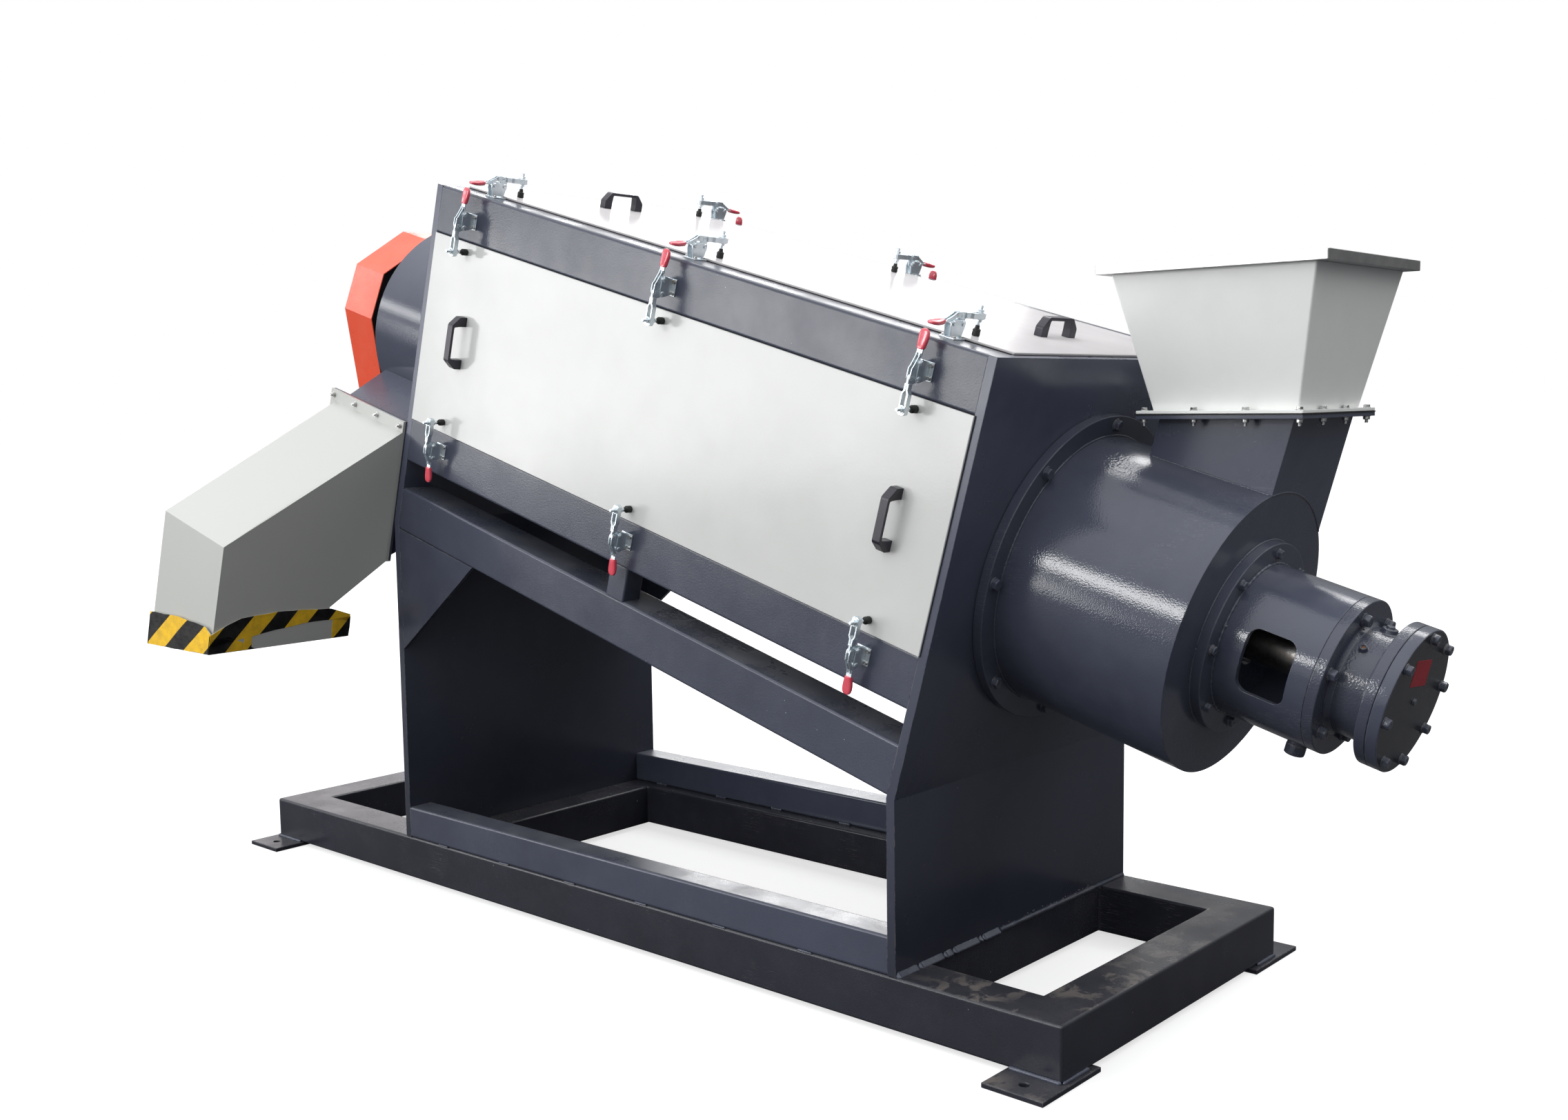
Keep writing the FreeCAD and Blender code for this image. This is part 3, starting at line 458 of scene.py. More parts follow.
def enamel(name, col, light, rough=(0.20, 0.38), peel=0.22, wear=0.6, dust=0.25, spots=0.6, wavy=0.12,
           coat=0.0, vary=0.16, scratch=0.5, spec=0.5, peel_scale=230.0, ease=0.0025, fine_amt=0.05, scuffs=False, painted_shade_low=None):
    """Brushed or sprayed machine enamel: orange peel, slow tone changes,
    smudges in the gloss, dust on upward faces, scuffed edges, fine scratches."""
    M = Mat(name)
    big = M.noise(1.7, 4, 0.55)
    mid = M.noise(11.0, 5, 0.6, off=(3.1, 1.7, 0.4))
    fine = M.noise(75.0, 4, 0.6)
    edge, eased = M.edges(ease)
    base = M.mix(M.remap(big, 0.32, 0.68, 0, 1), [c * (1 - vary) for c in col[:3]] + [1], [min(1, c * (1 + vary)) for c in col[:3]] + [1])
    base = M.mix(M.remap(mid, 0.42, 0.72, 0, 0.35), base, light)
    # dust settles on what faces up
    dusty = M.math("MULTIPLY", M.up(), M.remap(M.noise(6.0, 5, 0.65, off=(7, 2, 5)), 0.38, 0.72, 0.15, 1.0))
    base = M.mix(M.math("MULTIPLY", dusty, dust), base, rgb(168, 165, 160))
    if painted_shade_low:
        # painted shade: the paint is darkened towards the floor, standing in for the shade on the lower part of the end
        # plates
        sz = M.n("ShaderNodeSeparateXYZ")
        M.link(M.co, sz.inputs[0])
        k = M.remap(sz.outputs[2], painted_shade_low[0], painted_shade_low[1], painted_shade_low[2], 1.0)
        gc = M.n("ShaderNodeCombineXYZ")
        for q in range(3):
            M.link(k, gc.inputs[q])
        base = M.mix(1.0, base, gc.outputs[0], "MULTIPLY")
    if scuffs:
        # dried mud scuffed across the tops near the feed end
        sx = M.n("ShaderNodeSeparateXYZ")
        M.link(M.co, sx.inputs[0])
        near = M.math("MULTIPLY", M.remap(sx.outputs[0], 1.02, 1.22, 0.06, 1.0), M.remap(sx.outputs[1], 0.30, -0.20, 0.25, 1.0))
        pat = M.remap(M.noise(15.0, 7, 0.62, off=(2.3, 8.1, 1.4), dist=0.5), 0.50, 0.58)
        pat = M.math("MULTIPLY", pat, M.remap(M.noise(4.0, 2, 0.5, off=(5.2, 1.1, 0.4)), 0.40, 0.55))
        base = M.mix(M.math("MULTIPLY", M.math("MULTIPLY", pat, near), M.math("MULTIPLY", M.up(), 0.55)), base, rgb(128, 120, 114))
    # small pale spatter and nicks
    vor = M.n("ShaderNodeTexVoronoi", Scale=38.0, Randomness=1.0)
    M.link(M.co, vor.inputs["Vector"])
    dots = M.remap(vor.outputs["Distance"], 0.055, 0.03)
    gate = M.remap(M.noise(4.3, 3, 0.6, off=(1, 9, 4)), 0.60, 0.66)
    base = M.mix(M.math("MULTIPLY", M.math("MULTIPLY", dots, gate), spots), base, rgb(196, 196, 198))
    # long hair scratches, gated by a slow mask
    s1 = M.noise(26.0, 2, 0.5, stretch=(0.35, 6.0, 9.0), dist=0.6)
    s1 = M.remap(M.math("ABSOLUTE", M.math("SUBTRACT", s1, 0.5)), 0.012, 0.004)
    g2 = M.remap(M.noise(3.1, 3, 0.6, off=(4, 4, 1)), 0.56, 0.66)
    base = M.mix(M.math("MULTIPLY", M.math("MULTIPLY", s1, g2), 0.35 * scratch), base, rgb(180, 178, 176))
    # worn edges; where the edge mask is wide (base_paint) the pale edges also act as a painted highlight along rounded
    # edges
    worn = M.math("MULTIPLY", edge, M.remap(M.noise(17.0, 6, 0.7, off=(2, 5, 8)), 0.47, 0.60))
    base = M.mix(M.math("MULTIPLY", worn, wear), base, rgb(150, 146, 142))
    r = M.remap(M.noise(5.2, 5, 0.65, off=(6, 6, 6)), 0.3, 0.7, rough[0], rough[1])
    r = M.math("ADD", r, M.math("MULTIPLY", dusty, min(0.18, dust * 1.1)), True)
    r = M.math("ADD", r, M.math("MULTIPLY", worn, min(0.15, wear * 0.3)), True)
    nrm = M.bump(M.noise(7.0, 2, 0.5), wavy, 0.004, eased)
    nrm = M.bump(M.noise(peel_scale, 1.5, 0.5), peel, 0.0008, nrm)
    if fine_amt > 0:
        nrm = M.bump(fine, fine_amt, 0.001, nrm)
    M.set(Base_Color=base, Roughness=r, Normal=nrm)
    M.b.inputs["Specular IOR Level"].default_value = spec
    M.b.inputs["Coat Weight"].default_value = coat
    M.b.inputs["Coat Roughness"].default_value = 0.12
    return M.m


def metal(name, col, dark, rough=(0.22, 0.36), stretch=None, grain=90.0, bumpy=0.08, metallic=1.0, stain=None, ease=0.0006):
    M = Mat(name)
    mid = M.noise(24.0, 5, 0.6)
    g = M.noise(grain, 4, 0.6, stretch=stretch)
    base = M.mix(M.remap(mid, 0.35, 0.68), col, dark)
    base = M.mix(M.remap(g, 0.3, 0.75, 0, 0.35), base, dark)
    if stain:
        base = M.mix(M.remap(M.noise(9.0, 4, 0.65, off=(3, 3, 9)), 0.56, 0.70, 0, 0.6), base, stain)
    edge, eased = M.edges(ease)
    nrm = M.bump(g, bumpy, 0.0004, eased)
    M.set(Base_Color=base, Roughness=M.remap(g, 0.3, 0.7, rough[0], rough[1]), Normal=nrm, Metallic=metallic)
    return M.m


def plastic(name, col, light, rough=(0.32, 0.46), grain=420.0, bumpy=0.10, coat=0.0, wear=0.3):
    M = Mat(name)
    big = M.noise(18.0, 4, 0.6)
    g = M.noise(grain, 2, 0.5)
    edge, eased = M.edges(0.0012)
    base = M.mix(M.remap(big, 0.4, 0.75, 0, 0.5), col, light)
    worn = M.math("MULTIPLY", edge, M.remap(M.noise(55.0, 5, 0.7), 0.48, 0.62))
    base = M.mix(M.math("MULTIPLY", worn, wear), base, light)
    M.set(Base_Color=base, Roughness=M.remap(big, 0.3, 0.7, rough[0], rough[1]), Normal=M.bump(g, bumpy, 0.0003, eased))
    M.b.inputs["Coat Weight"].default_value = coat
    M.b.inputs["Coat Roughness"].default_value = 0.08
    return M.m


def hazard(name):
    M = Mat(name)
    sep = M.n("ShaderNodeSeparateXYZ")
    M.link(M.co, sep.inputs[0])
    wob = M.remap(M.noise(9.0, 2), 0, 1, -0.004, 0.004)
    s = M.math("ADD", M.math("ADD", M.math("MULTIPLY", sep.outputs[0], 0.64), sep.outputs[1]), M.math("MULTIPLY", sep.outputs[2], -1.0))
    s = M.math("ADD", s, wob)
    f = M.math("FRACT", M.math("MULTIPLY", s, 1 / 0.138))
    st = M.remap(M.math("ABSOLUTE", M.math("SUBTRACT", f, 0.5)), 0.245, 0.255)
    dirt = M.noise(30.0, 6, 0.7)
    yellow = M.mix(M.remap(dirt, 0.4, 0.75), rgb(240, 192, 44), rgb(196, 156, 50))
    black = M.mix(M.remap(dirt, 0.4, 0.75), rgb(22, 22, 23), rgb(48, 47, 45))
    base = M.mix(st, yellow, black)
    nrm = M.bump(M.noise(60.0, 4, 0.6), 0.25, 0.001)
    nrm = M.bump(M.noise(14.0, 2, 0.6, stretch=(1, 1, 4)), 0.35, 0.002, nrm)
    M.set(Base_Color=base, Roughness=M.remap(dirt, 0.3, 0.7, 0.28, 0.5), Normal=nrm)
    M.b.inputs["Specular IOR Level"].default_value = 0.25
    return M.m


GREY = rgb(66, 69, 80)
frame_paint = enamel("frame_paint", rgb(62, 66, 80), rgb(74, 78, 92), rough=(0.16, 0.30), peel=0.26, wear=0.8, dust=0.16, scratch=0.1)
# base_paint: its pale edges are partly real wear and partly a painted highlight along the rounded beam edges
base_paint = enamel("base_paint", rgb(40, 41, 49), rgb(54, 55, 63), rough=(0.12, 0.28), peel=0.30, wear=0.45, dust=0.08, ease=0.004, spots=0.8, wavy=0.10, scuffs=True)
drum_paint = enamel("drum_paint", rgb(66, 70, 84), rgb(76, 80, 94), rough=(0.07, 0.13), peel=0.30, wear=0.5, dust=0.08, wavy=0.03, fine_amt=0.01, peel_scale=300.0)
cast_paint = enamel("cast_paint", rgb(62, 65, 78), rgb(74, 78, 91), rough=(0.07, 0.15), peel=0.75, wear=0.6, dust=0.06, wavy=0.22, spots=0.9, fine_amt=0.16)
spout_paint = enamel("spout_paint", rgb(70, 74, 90), rgb(77, 81, 97), rough=(0.20, 0.30), peel=0.10, wear=0.5, dust=0.1, wavy=0.03, fine_amt=0.0)
# plate_paint: painted light and shade, a lighter copy of the frame paint that is darkened towards the floor
plate_paint = enamel("plate_paint", rgb(75, 79, 96), rgb(83, 87, 103), rough=(0.16, 0.30), peel=0.10, wear=0.7, dust=0.15, wavy=0.05, fine_amt=0.01, scratch=0.1, painted_shade_low=(0.15, 1.30, 0.34))
cap_paint = enamel("cap_paint", rgb(40, 41, 46), rgb(50, 51, 56), rough=(0.18, 0.30), peel=0.25, wear=0.4, dust=0.1, wavy=0.05)
dark_paint = enamel("dark_paint", rgb(34, 34, 38), rgb(46, 46, 50), rough=(0.30, 0.5), peel=0.2, wear=0.2, dust=0.2, spots=0.3)
cream_paint = enamel("cream_paint", rgb(199, 200, 198), rgb(193, 193, 190), rough=(0.10, 0.20), peel=0.10, wear=0.25, dust=0.0,
                     spots=0.15, wavy=0.05, vary=0.03, scratch=0.25, peel_scale=180.0, ease=0.0015)
# painted light: a brighter copy of the cream paint, standing in for the strong front light on the hopper
cream_hopper_lit = enamel("cream_hopper_lit", rgb(238, 239, 237), rgb(230, 230, 227), rough=(0.12, 0.22), peel=0.10, wear=0.25, dust=0.0,
                      spots=0.15, wavy=0.05, vary=0.03, scratch=0.25, peel_scale=180.0, ease=0.0015)
cream_chute = enamel("cream_chute", rgb(182, 183, 179), rgb(182, 183, 179), rough=(0.24, 0.27), peel=0.06, wear=0.0, dust=0.0, fine_amt=0.0,
                     spots=0.0, wavy=0.03, vary=0.002, scratch=0.0, peel_scale=180.0, ease=0.0015)
# painted shade: a darker copy of the cream paint, holding back the strong overhead light on the lid
cream_lid_shaded = enamel("cream_lid_shaded", rgb(187, 184, 185), rgb(180, 177, 178), rough=(0.13, 0.21), peel=0.07, wear=0.25, dust=0.05, spec=0.5,
                   spots=0.3, wavy=0.06, vary=0.03, scratch=0.3, peel_scale=160.0, ease=0.0015)
for nd in cream_lid_shaded.node_tree.nodes:
    if nd.type == "BSDF_PRINCIPLED":
        nd.inputs["IOR"].default_value = 1.025
guard_paint = enamel("guard_paint", rgb(226, 84, 56), rgb(234, 118, 92), rough=(0.20, 0.34), peel=0.16, wear=0.5, dust=0.22, spots=0.5, vary=0.10)
zinc = metal("zinc", (0.86, 0.92, 0.95, 1), (0.66, 0.74, 0.79, 1), rough=(0.30, 0.42), grain=90.0, bumpy=0.04, metallic=0.85)
bolt_zinc = metal("bolt_zinc", (0.72, 0.73, 0.72, 1), (0.46, 0.46, 0.45, 1), rough=(0.24, 0.40), grain=200.0, stain=(0.45, 0.38, 0.28, 1))
bare_steel = metal("bare_steel", (0.50, 0.50, 0.50, 1), (0.38, 0.38, 0.38, 1), rough=(0.26, 0.40), stretch=(1, 1, 14), grain=70.0, stain=(0.70, 0.69, 0.67, 1))
# shaft_steel: partly painted shade, darkened to stand in for the shade inside the bearing pedestal window; the brown
# stain is rust
shaft_steel = metal("shaft_steel", (0.42, 0.41, 0.40, 1), (0.20, 0.19, 0.18, 1), rough=(0.30, 0.5), stretch=(12, 1, 1), grain=40.0, stain=(0.22, 0.16, 0.11, 1))
rust = metal("rust", (0.26, 0.13, 0.07, 1), (0.12, 0.06, 0.04, 1), rough=(0.6, 0.8), grain=300.0, metallic=0.2)
black_plastic = plastic("black_plastic", rgb(24, 24, 26), rgb(52, 52, 54))
rubber = plastic("rubber", rgb(20, 20, 21), rgb(40, 40, 41), rough=(0.5, 0.68), grain=260.0)
red_vinyl = plastic("red_vinyl", rgb(216, 66, 84), rgb(234, 122, 138), rough=(0.16, 0.28), grain=120.0, bumpy=0.04, coat=0.7, wear=0.2)
handle_plastic = plastic("handle_plastic", rgb(37, 35, 45), rgb(62, 60, 72), rough=(0.26, 0.38), grain=300.0)
red_patch = plastic("red_patch", rgb(146, 26, 38), rgb(172, 58, 66), rough=(0.4, 0.6), grain=300.0)
tape = hazard("hazard_tape")


def paint(mat, *names):
    for nm in names:
        ob = NODES.get(nm)
        if ob is None:
            continue
        if not ob.material_slots:
            ob.data.materials.append(mat)
        for sl in ob.material_slots:
            sl.material = mat


# every CAD node gets a finish first; many are then replaced by finer pieces
for nm, ob in NODES.items():
    paint(frame_paint, nm)
paint(drum_paint, "inlet_drum", "outlet_drum", "inlet_flange", "shaft_seal_flange", "bearing_pedestal", "bearing_housing",
      "bearing_end_cover", "drain_plug", "drive_bearing_housing")
paint(spout_paint, "inlet_spout", "outlet_spout")
paint(plate_paint, "end_plate_left", "end_plate_right")
paint(dark_paint, "housing_bottom_pan", "guard_back_plate")
paint(cream_paint, "side_panel_front", "side_panel_rear", "hopper_body")
paint(cream_chute, "chute")
paint(cream_lid_shaded, "top_lid")
paint(bare_steel, "hopper_rim")
paint(guard_paint, "pulley_guard")
paint(shaft_steel, "rotor")
paint(base_paint, "base_foot_plates")

# ------------------------------------------------------------ base frame
HX, HY, Z0, BT, UT = 1500.0, 500.0, 12.0, 137.0, 228.0
LX, RX, PT = -781.4, 1069.0, 23.0
S = Shape()
bm = bmesh.new()
gx = [-HX, -1375, LX, LX + 125, RX - 125, RX, 1375, HX]
gy = [-HY, -375, 375, HY]
gv = {(i, j, k): bm.verts.new((gx[i], gy[j], (Z0, BT)[k])) for i in range(8) for j in range(4) for k in range(2)}


def solid(i, j):
    return 0 <= i < 7 and 0 <= j < 3 and not (j == 1 and i in (1, 3, 5))


for i in range(7):
    for j in range(3):
        if not solid(i, j):
            continue
        for k in range(2):
            bm.faces.new([gv[i, j, k], gv[i + 1, j, k], gv[i + 1, j + 1, k], gv[i, j + 1, k]])
        for (pi, pj), (e0, e1) in (((i - 1, j), ((i, j), (i, j + 1))), ((i + 1, j), ((i + 1, j), (i + 1, j + 1))),
                                   ((i, j - 1), ((i, j), (i + 1, j))), ((i, j + 1), ((i, j + 1), (i + 1, j + 1)))):
            if not solid(pi, pj):
                bm.faces.new([gv[(*e0, 0)], gv[(*e1, 0)], gv[(*e1, 1)], gv[(*e0, 1)]])
bmesh.ops.delete(bm, geom=[v for v in bm.verts if not v.link_faces], context="VERTS")
bmesh.ops.recalc_face_normals(bm, faces=bm.faces)
sharp = [e for e in bm.edges if len(e.link_faces) == 2 and e.calc_face_angle(0) > math.radians(28)]
bmesh.ops.bevel(bm, geom=sharp, offset=7, segments=3, profile=0.5, affect="EDGES", clamp_overlap=True)
S.add_bm(bm, WORLD)
piece("base_frame", S, [base_paint],
      stands_for=("base_beam_front", "base_beam_rear", "base_end_beam_left", "base_end_beam_right", "base_cross_beam_left", "base_cross_beam_right"))
S = Shape()
for ya, yb in ((-HY, -420), (420, HY)):
    pts = fillet([(ya, BT), (yb, BT), (yb, UT), (ya, UT)], 7, 3)
    prism(S, WORLD, pts, "yz", LX + PT, RX - PT, 0)
piece("upper_beams", S, [frame_paint], stands_for=("upper_beam_front", "upper_beam_rear"))
S = Shape()
for sx in (-1, 1):
    for sy in (-1, 1):
        cx, cy = sx * 1440, sy * 482.5
        hx, hy = cx, sy * 548
        # plate with its anchor hole: a ring of quads from the hole to the edge
        n = 48
        for_z = []
        outer = []
        inner = []
        for k in range(n):
            a = 2 * math.pi * k / n
            dx, dy = math.cos(a), math.sin(a)
            tx = ((cx + 75 - hx) / dx) if dx > 1e-9 else (((cx - 75 - hx) / dx) if dx < -1e-9 else 1e9)
            ty = ((cy + 112.5 - hy) / dy) if dy > 1e-9 else (((cy - 112.5 - hy) / dy) if dy < -1e-9 else 1e9)
            t = min(tx, ty)
            outer.append([hx + dx * t, hy + dy * t])
            inner.append([hx + 11 * dx, hy + 11 * dy])
        for qx in (cx - 75, cx + 75):
            for qy in (cy - 112.5, cy + 112.5):
                k = min(range(n), key=lambda i: (outer[i][0] - qx) ** 2 + (outer[i][1] - qy) ** 2)
                outer[k] = [qx, qy]

        def shr(p, d):
            return [max(cx - 75 + d, min(cx + 75 - d, p[0])), max(cy - 112.5 + d, min(cy + 112.5 - d, p[1]))]
        L = [[(p[0], p[1], 1.2) for p in outer], [(p[0], p[1], 10.8) for p in outer],
             [(*shr(p, 1.2), 12) for p in outer], [(hx + (p[0] - hx) * 1.12, hy + (p[1] - hy) * 1.12, 12) for p in inner],
             [(*p, 10.8) for p in inner], [(*p, 0.0) for p in inner], [(*shr(p, 1.2), 0.0) for p in outer]]
        loft(S, WORLD, L, closed=True)
piece("foot_plates", S, [base_paint], stands_for=("base_foot_plates",), angle=30, weighted=False)

# ------------------------------------------------------------ housing rails
UA, UB = PT + L0, -PT


def rail_outline(y_out, depth, z0, z1, r):
    ya, yb = (y_out, y_out + depth) if y_out < 0 else (y_out - depth, y_out)
    return fillet([(ya, z0), (yb, z0), (yb, z1), (ya, z1)], r, 3)


for side, y in (("front", -HY), ("rear", HY)):
    S = Shape()
    prism(S, INC, rail_outline(y, 88, 872, 1002, 8), "yz", UA, UB, 0)
    piece("top_rail_tube_" + side, S, [frame_paint], stands_for=("top_rail_" + side,))
    S = Shape()
    prism(S, INC, rail_outline(y, 60, 210, 337, 7), "yz", UA, UB, 0)
    ya, yb = (y, y + 60) if y < 0 else (y - 60, y)
    po = fillet([(-1005.9, ya), (-939.4, ya), (-939.4, yb), (-1005.9, yb)], 5, 3)
    prism(S, INC, po, "xy", 124, 212, 0)
    piece("middle_rail_tube_" + side, S, [frame_paint], stands_for=("middle_rail_" + side,))
    S = Shape()
    ya, yb = (y, y + 118) if y < 0 else (y - 118, y)
    bm = bmesh.new()
    low = [(-1905.8, 126), (-1905.8, 21.2), (-1900.5, 2.4), (-23, 2.4), (-23, 126)]
    A = [bm.verts.new((p[0], ya, p[1])) for p in low]
    B = [bm.verts.new((p[0], yb, p[1])) for p in low]
    bm.faces.new(A)
    bm.faces.new(list(reversed(B)))
    for i in range(5):
        j = (i + 1) % 5
        bm.faces.new([A[j], A[i], B[i], B[j]])
    bmesh.ops.recalc_face_normals(bm, faces=bm.faces)
    long_edges = [e for e in bm.edges if abs(e.verts[0].co.x - e.verts[1].co.x) > 1000]
    bmesh.ops.bevel(bm, geom=long_edges, offset=7, segments=3, profile=0.5, affect="EDGES")
    S.add_bm(bm, INC)
    piece("lower_rail_tube_" + side, S, [frame_paint], stands_for=("lower_rail_" + side,))

# ------------------------------------------------------------ covers
for side, sy in (("front", -1), ("rear", 1)):
    S = Shape()
    ya, yb = sorted((sy * 500.8, sy * 506))
    box(S, INC, UA + 3, -20, ya, yb, 336, 873, 1.6, 3)
    piece("panel_" + side, S, [cream_paint], stands_for=("side_panel_" + side,))
    S = Shape()
    ya, yb = sorted((sy * 499.5, sy * 501.2))
    box(S, INC, UA + 2.2, -19.2, ya, yb, 335.2, 873.8, 0.3, 1)
    piece("panel_gasket_" + side, S, [rubber])
S = Shape()
box(S, INC, UA + 3, -20, -412, 412, 1002.8, 1008, 1.6, 3)
piece("lid_sheet", S, [cream_lid_shaded], stands_for=("top_lid",))
S = Shape()
box(S, INC, UA + 2.2, -19.2, -412.8, 412.8, 1001.5, 1003.2, 0.3, 1)
piece("lid_gasket", S, [rubber])

FLIP = {
    "TF": Matrix.Identity(4), "TR": rot("Z", 180), "FL": rot("X", 90), "FU": rot("X", 90) @ rot("Z", 180),
    "RU": rot("X", -90), "RL": rot("X", -90) @ rot("Z", 180),
}


def grip(S, M):
    out = [(-72.5, 0), (-72.5, 22), (-50.5, 46), (50.5, 46), (72.5, 22), (72.5, 0), (46.5, 0), (46.5, 18), (44.5, 38.5), (-44.5, 38.5), (-46.5, 18), (-46.5, 0)]
    out = fillet(out, [1, 4, 5, 5, 4, 1, 1, 6, 4, 4, 6, 1], 3)
    prism(S, M, out, "yz", -10.5, 10.5, 2.2, 3)
    # recessed screw seats
    for s in (-1, 1):
        lathe(S, M @ tr(0, s * 60, 31) @ rot("X", -s * 42) @ ALONG_Z, disc(-2, 1.6, 5.2, 0.6), seg=20)


for side, key, ny in (("front", "FL", -506), ("rear", "RU", 506)):
    S = Shape()
    for u in (-1722, -164):
        grip(S, INC @ tr(u, ny, 603) @ FLIP[key])
    piece("pull_handles_" + side, S, [handle_plastic], stands_for=("panel_handles_" + side,))
S = Shape()
for u in (-1725, -190):
    grip(S, INC @ tr(u, 0, 1008))
piece("pull_handles_top", S, [handle_plastic], stands_for=("lid_handles",))

# ------------------------------------------------------------ toggle clamps
# canonical: x along the pins, y towards the rubber tip, z out of the face
PA, PN, LA, LN = 17.0, 33.0, 14.6, 49.5


def clamp_base(S, M):
    box(S, M, -20, 20, -21, 21, 0, 3, 0.9, 2)
    for s in (-1, 1):
        x0, x1 = sorted((s * 6.8, s * 9.8))
        out = fillet([(-18, 2), (-25, 28), (-25, 36), (-20, 41), (20, 41), (25, 36), (25, 28), (18, 2)], [0, 5, 4, 4, 4, 4, 5, 0], 3)
        prism(S, M, out, "yz", x0, x1, 0.7, 2)
        # folded root of the cheek
        prism(S, M, [(s * 9.8, 2.5), (s * 13.3, 2.5), (s * 10.8, 3.6), (s * 9.8, 6)], "xz", -18, 18, 0.3, 1)
        for a in (PA, -PA):
            Mx = M @ tr(s * 9.8, a, PN) @ (Matrix.Identity(4) if s > 0 else rot("Z", 180))
            lathe(S, Mx, [(-3, 0.0), (-3, 4.0), (0.0, 4.0), (0.0, 5.8), (0.6, 5.9), (1.6, 5.0), (2.3, 3.2), (2.5, 0.0)], seg=20, closed=False)
    for a in (PA, -PA):
        lathe(S, M @ tr(0, a, PN), [(-9, 0.0), (-9, 4.0), (9, 4.0), (9, 0.0)], seg=20, closed=False)
    for sx in (-1, 1):
        for sy in (-1, 1):
            hexbolt(S, M @ tr(sx * 14.5, sy * 14, 3), 8.0, 3.4, 5.2, 1.0, mat=1, spin=0.3 * sx + sy)


def clamp_arm(S, M):
    # blade with its eye
    out = fillet([(9, 26), (25, 26), (31, 44), (33, 57), (9.6, 57), (6.6, 49.5), (9, 38)], [8, 8, 2, 2, 3, 3, 6], 4)
    prism(S, M, out, "yz", -2.6, 2.6, 0.5, 2)
    for s in (-1, 1):
        half = [(28.2, 0.4), (43, 0.4), (51, 5.5), (92, 5.5), (92, 0.2), (97, 0.2), (97, 5), (93.5, 9.5), (50, 9.5), (43, 5.6), (28.2, 5.6)]
        pts = [(s * x, a) for a, x in half]
        if s < 0:
            pts.reverse()
        prism(S, M, pts, "xy", 44, 57, 0.7, 2)
    # spindle: thread, flanged washers, nuts
    Mz = M @ tr(0, 84, 0)
    thread(S, Mz, 4.0, 24, 74, 0, 1.5, 12)
    lathe(S, Mz @ ALONG_Z, disc(57, 58.6, 9.4, 0.5), seg=24)
    lathe(S, Mz @ ALONG_Z, disc(42.4, 44, 9.4, 0.5), seg=24)
    nut(S, Mz @ tr(0, 0, 58.4), 12.5, 6.0, spin=0.4)
    nut(S, Mz @ tr(0, 0, 36.6), 12.5, 6.0, spin=0.1)
    lathe(S, Mz @ ALONG_Z, [(6.4, 0.0), (6.4, 7.6), (7.4, 8.8), (11, 9.1), (15, 8.7), (20, 9.0), (21.3, 8.4), (22.6, 6.0), (26, 5.0), (30, 4.6), (30.4, 0.0)], seg=28, closed=False, mat=1)


def clamp_lever(S, M):
    for s in (-1, 1):
        x0, x1 = sorted((s * 3.2, s * 5.6))
        out = fillet([(22, 50.5), (19.6, 57), (8.6, 58), (-7.4, 57), (-10.4, 50.5), (-3.4, 45.5), (12.6, 42), (20.6, 44.5)], 3.0, 3)
        prism(S, M, out, "yz", x0, x1, 0.5, 2)
        neck = fillet([(-3, 57), (-3, 46.5), (-34, 33.5), (-38, 33.5), (-38, 41), (-32, 42)], [1, 1, 2, 1, 1, 4], 3)
        prism(S, M, neck, "yz", x0, x1, 0.5, 2)
    lathe(S, M @ tr(0, LA, LN), [(-5.6, 0.0), (-5.6, 3.0), (5.6, 3.0), (5.6, 0.0)], seg=16, closed=False)
    for s in (-1, 1):
        Mx = M @ tr(s * 5.6, LA, LN) @ (Matrix.Identity(4) if s > 0 else rot("Z", 180))
        lathe(S, Mx, [(-1, 0.0), (-1, 4.4), (0.3, 4.5), (0.7, 3.6), (0.9, 0.0)], seg=16, closed=False)
    # the strap both side plates end in, then the dipped grip
    box(S, M, -7.5, 7.5, -52, -31, 34.2, 37.8, 0.8, 2)
    loops = []
    for a, n, hw, ht in ((-45.6, 35.8, 4.0, 2.4), (-46.2, 35.7, 8.0, 5.2), (-48.5, 35.2, 9.6, 6.2), (-55, 34.4, 10.8, 6.4), (-63, 33.5, 12.0, 6.2),
                         (-70, 32.8, 12.8, 5.8), (-76, 32.5, 13.0, 5.3), (-81, 32.4, 12.3, 4.8), (-85, 32.4, 10.7, 4.2), (-88, 32.4, 8.2, 3.4), (-89.6, 32.5, 5.4, 2.2), (-90, 32.5, 2.4, 0.8)):
        lp = []
        for j in range(24):
            t = 2 * math.pi * j / 24
            c, s = math.cos(t), math.sin(t)
            lp.append((hw * math.copysign(abs(c) ** 0.55, c), a, n + ht * math.copysign(abs(s) ** 0.75, s)))
        loops.append(lp)
    loft(S, M, loops, 1)


ROWS = {"FU": ("front_upper", -500, 931), "FL": ("front_lower", -500, 283), "RU": ("rear_upper", 500, 931),
        "RL": ("rear_lower", 500, 283), "TF": ("top_front", -434, 1002), "TR": ("top_rear", 434, 1002)}
COLS = (-1754, -962, -168)
BASES = {"front": Shape(), "rear": Shape(), "top": Shape()}
for key, (row, y, v) in ROWS.items():
    SA, SL = Shape(), Shape()
    for u in COLS:
        M = INC @ tr(u, y, v) @ FLIP[key]
        clamp_base(BASES["top" if key[0] == "T" else row.split("_")[0]], M)
        clamp_arm(SA, M)
        clamp_lever(SL, M)
    piece("toggle_arms_" + row, SA, [zinc, rubber], body="clamp_arms_" + row, stands_for=("clamp_arms_" + row,))
    piece("toggle_levers_" + row, SL, [zinc, red_vinyl], body="clamp_levers_" + row, stands_for=("clamp_levers_" + row,))
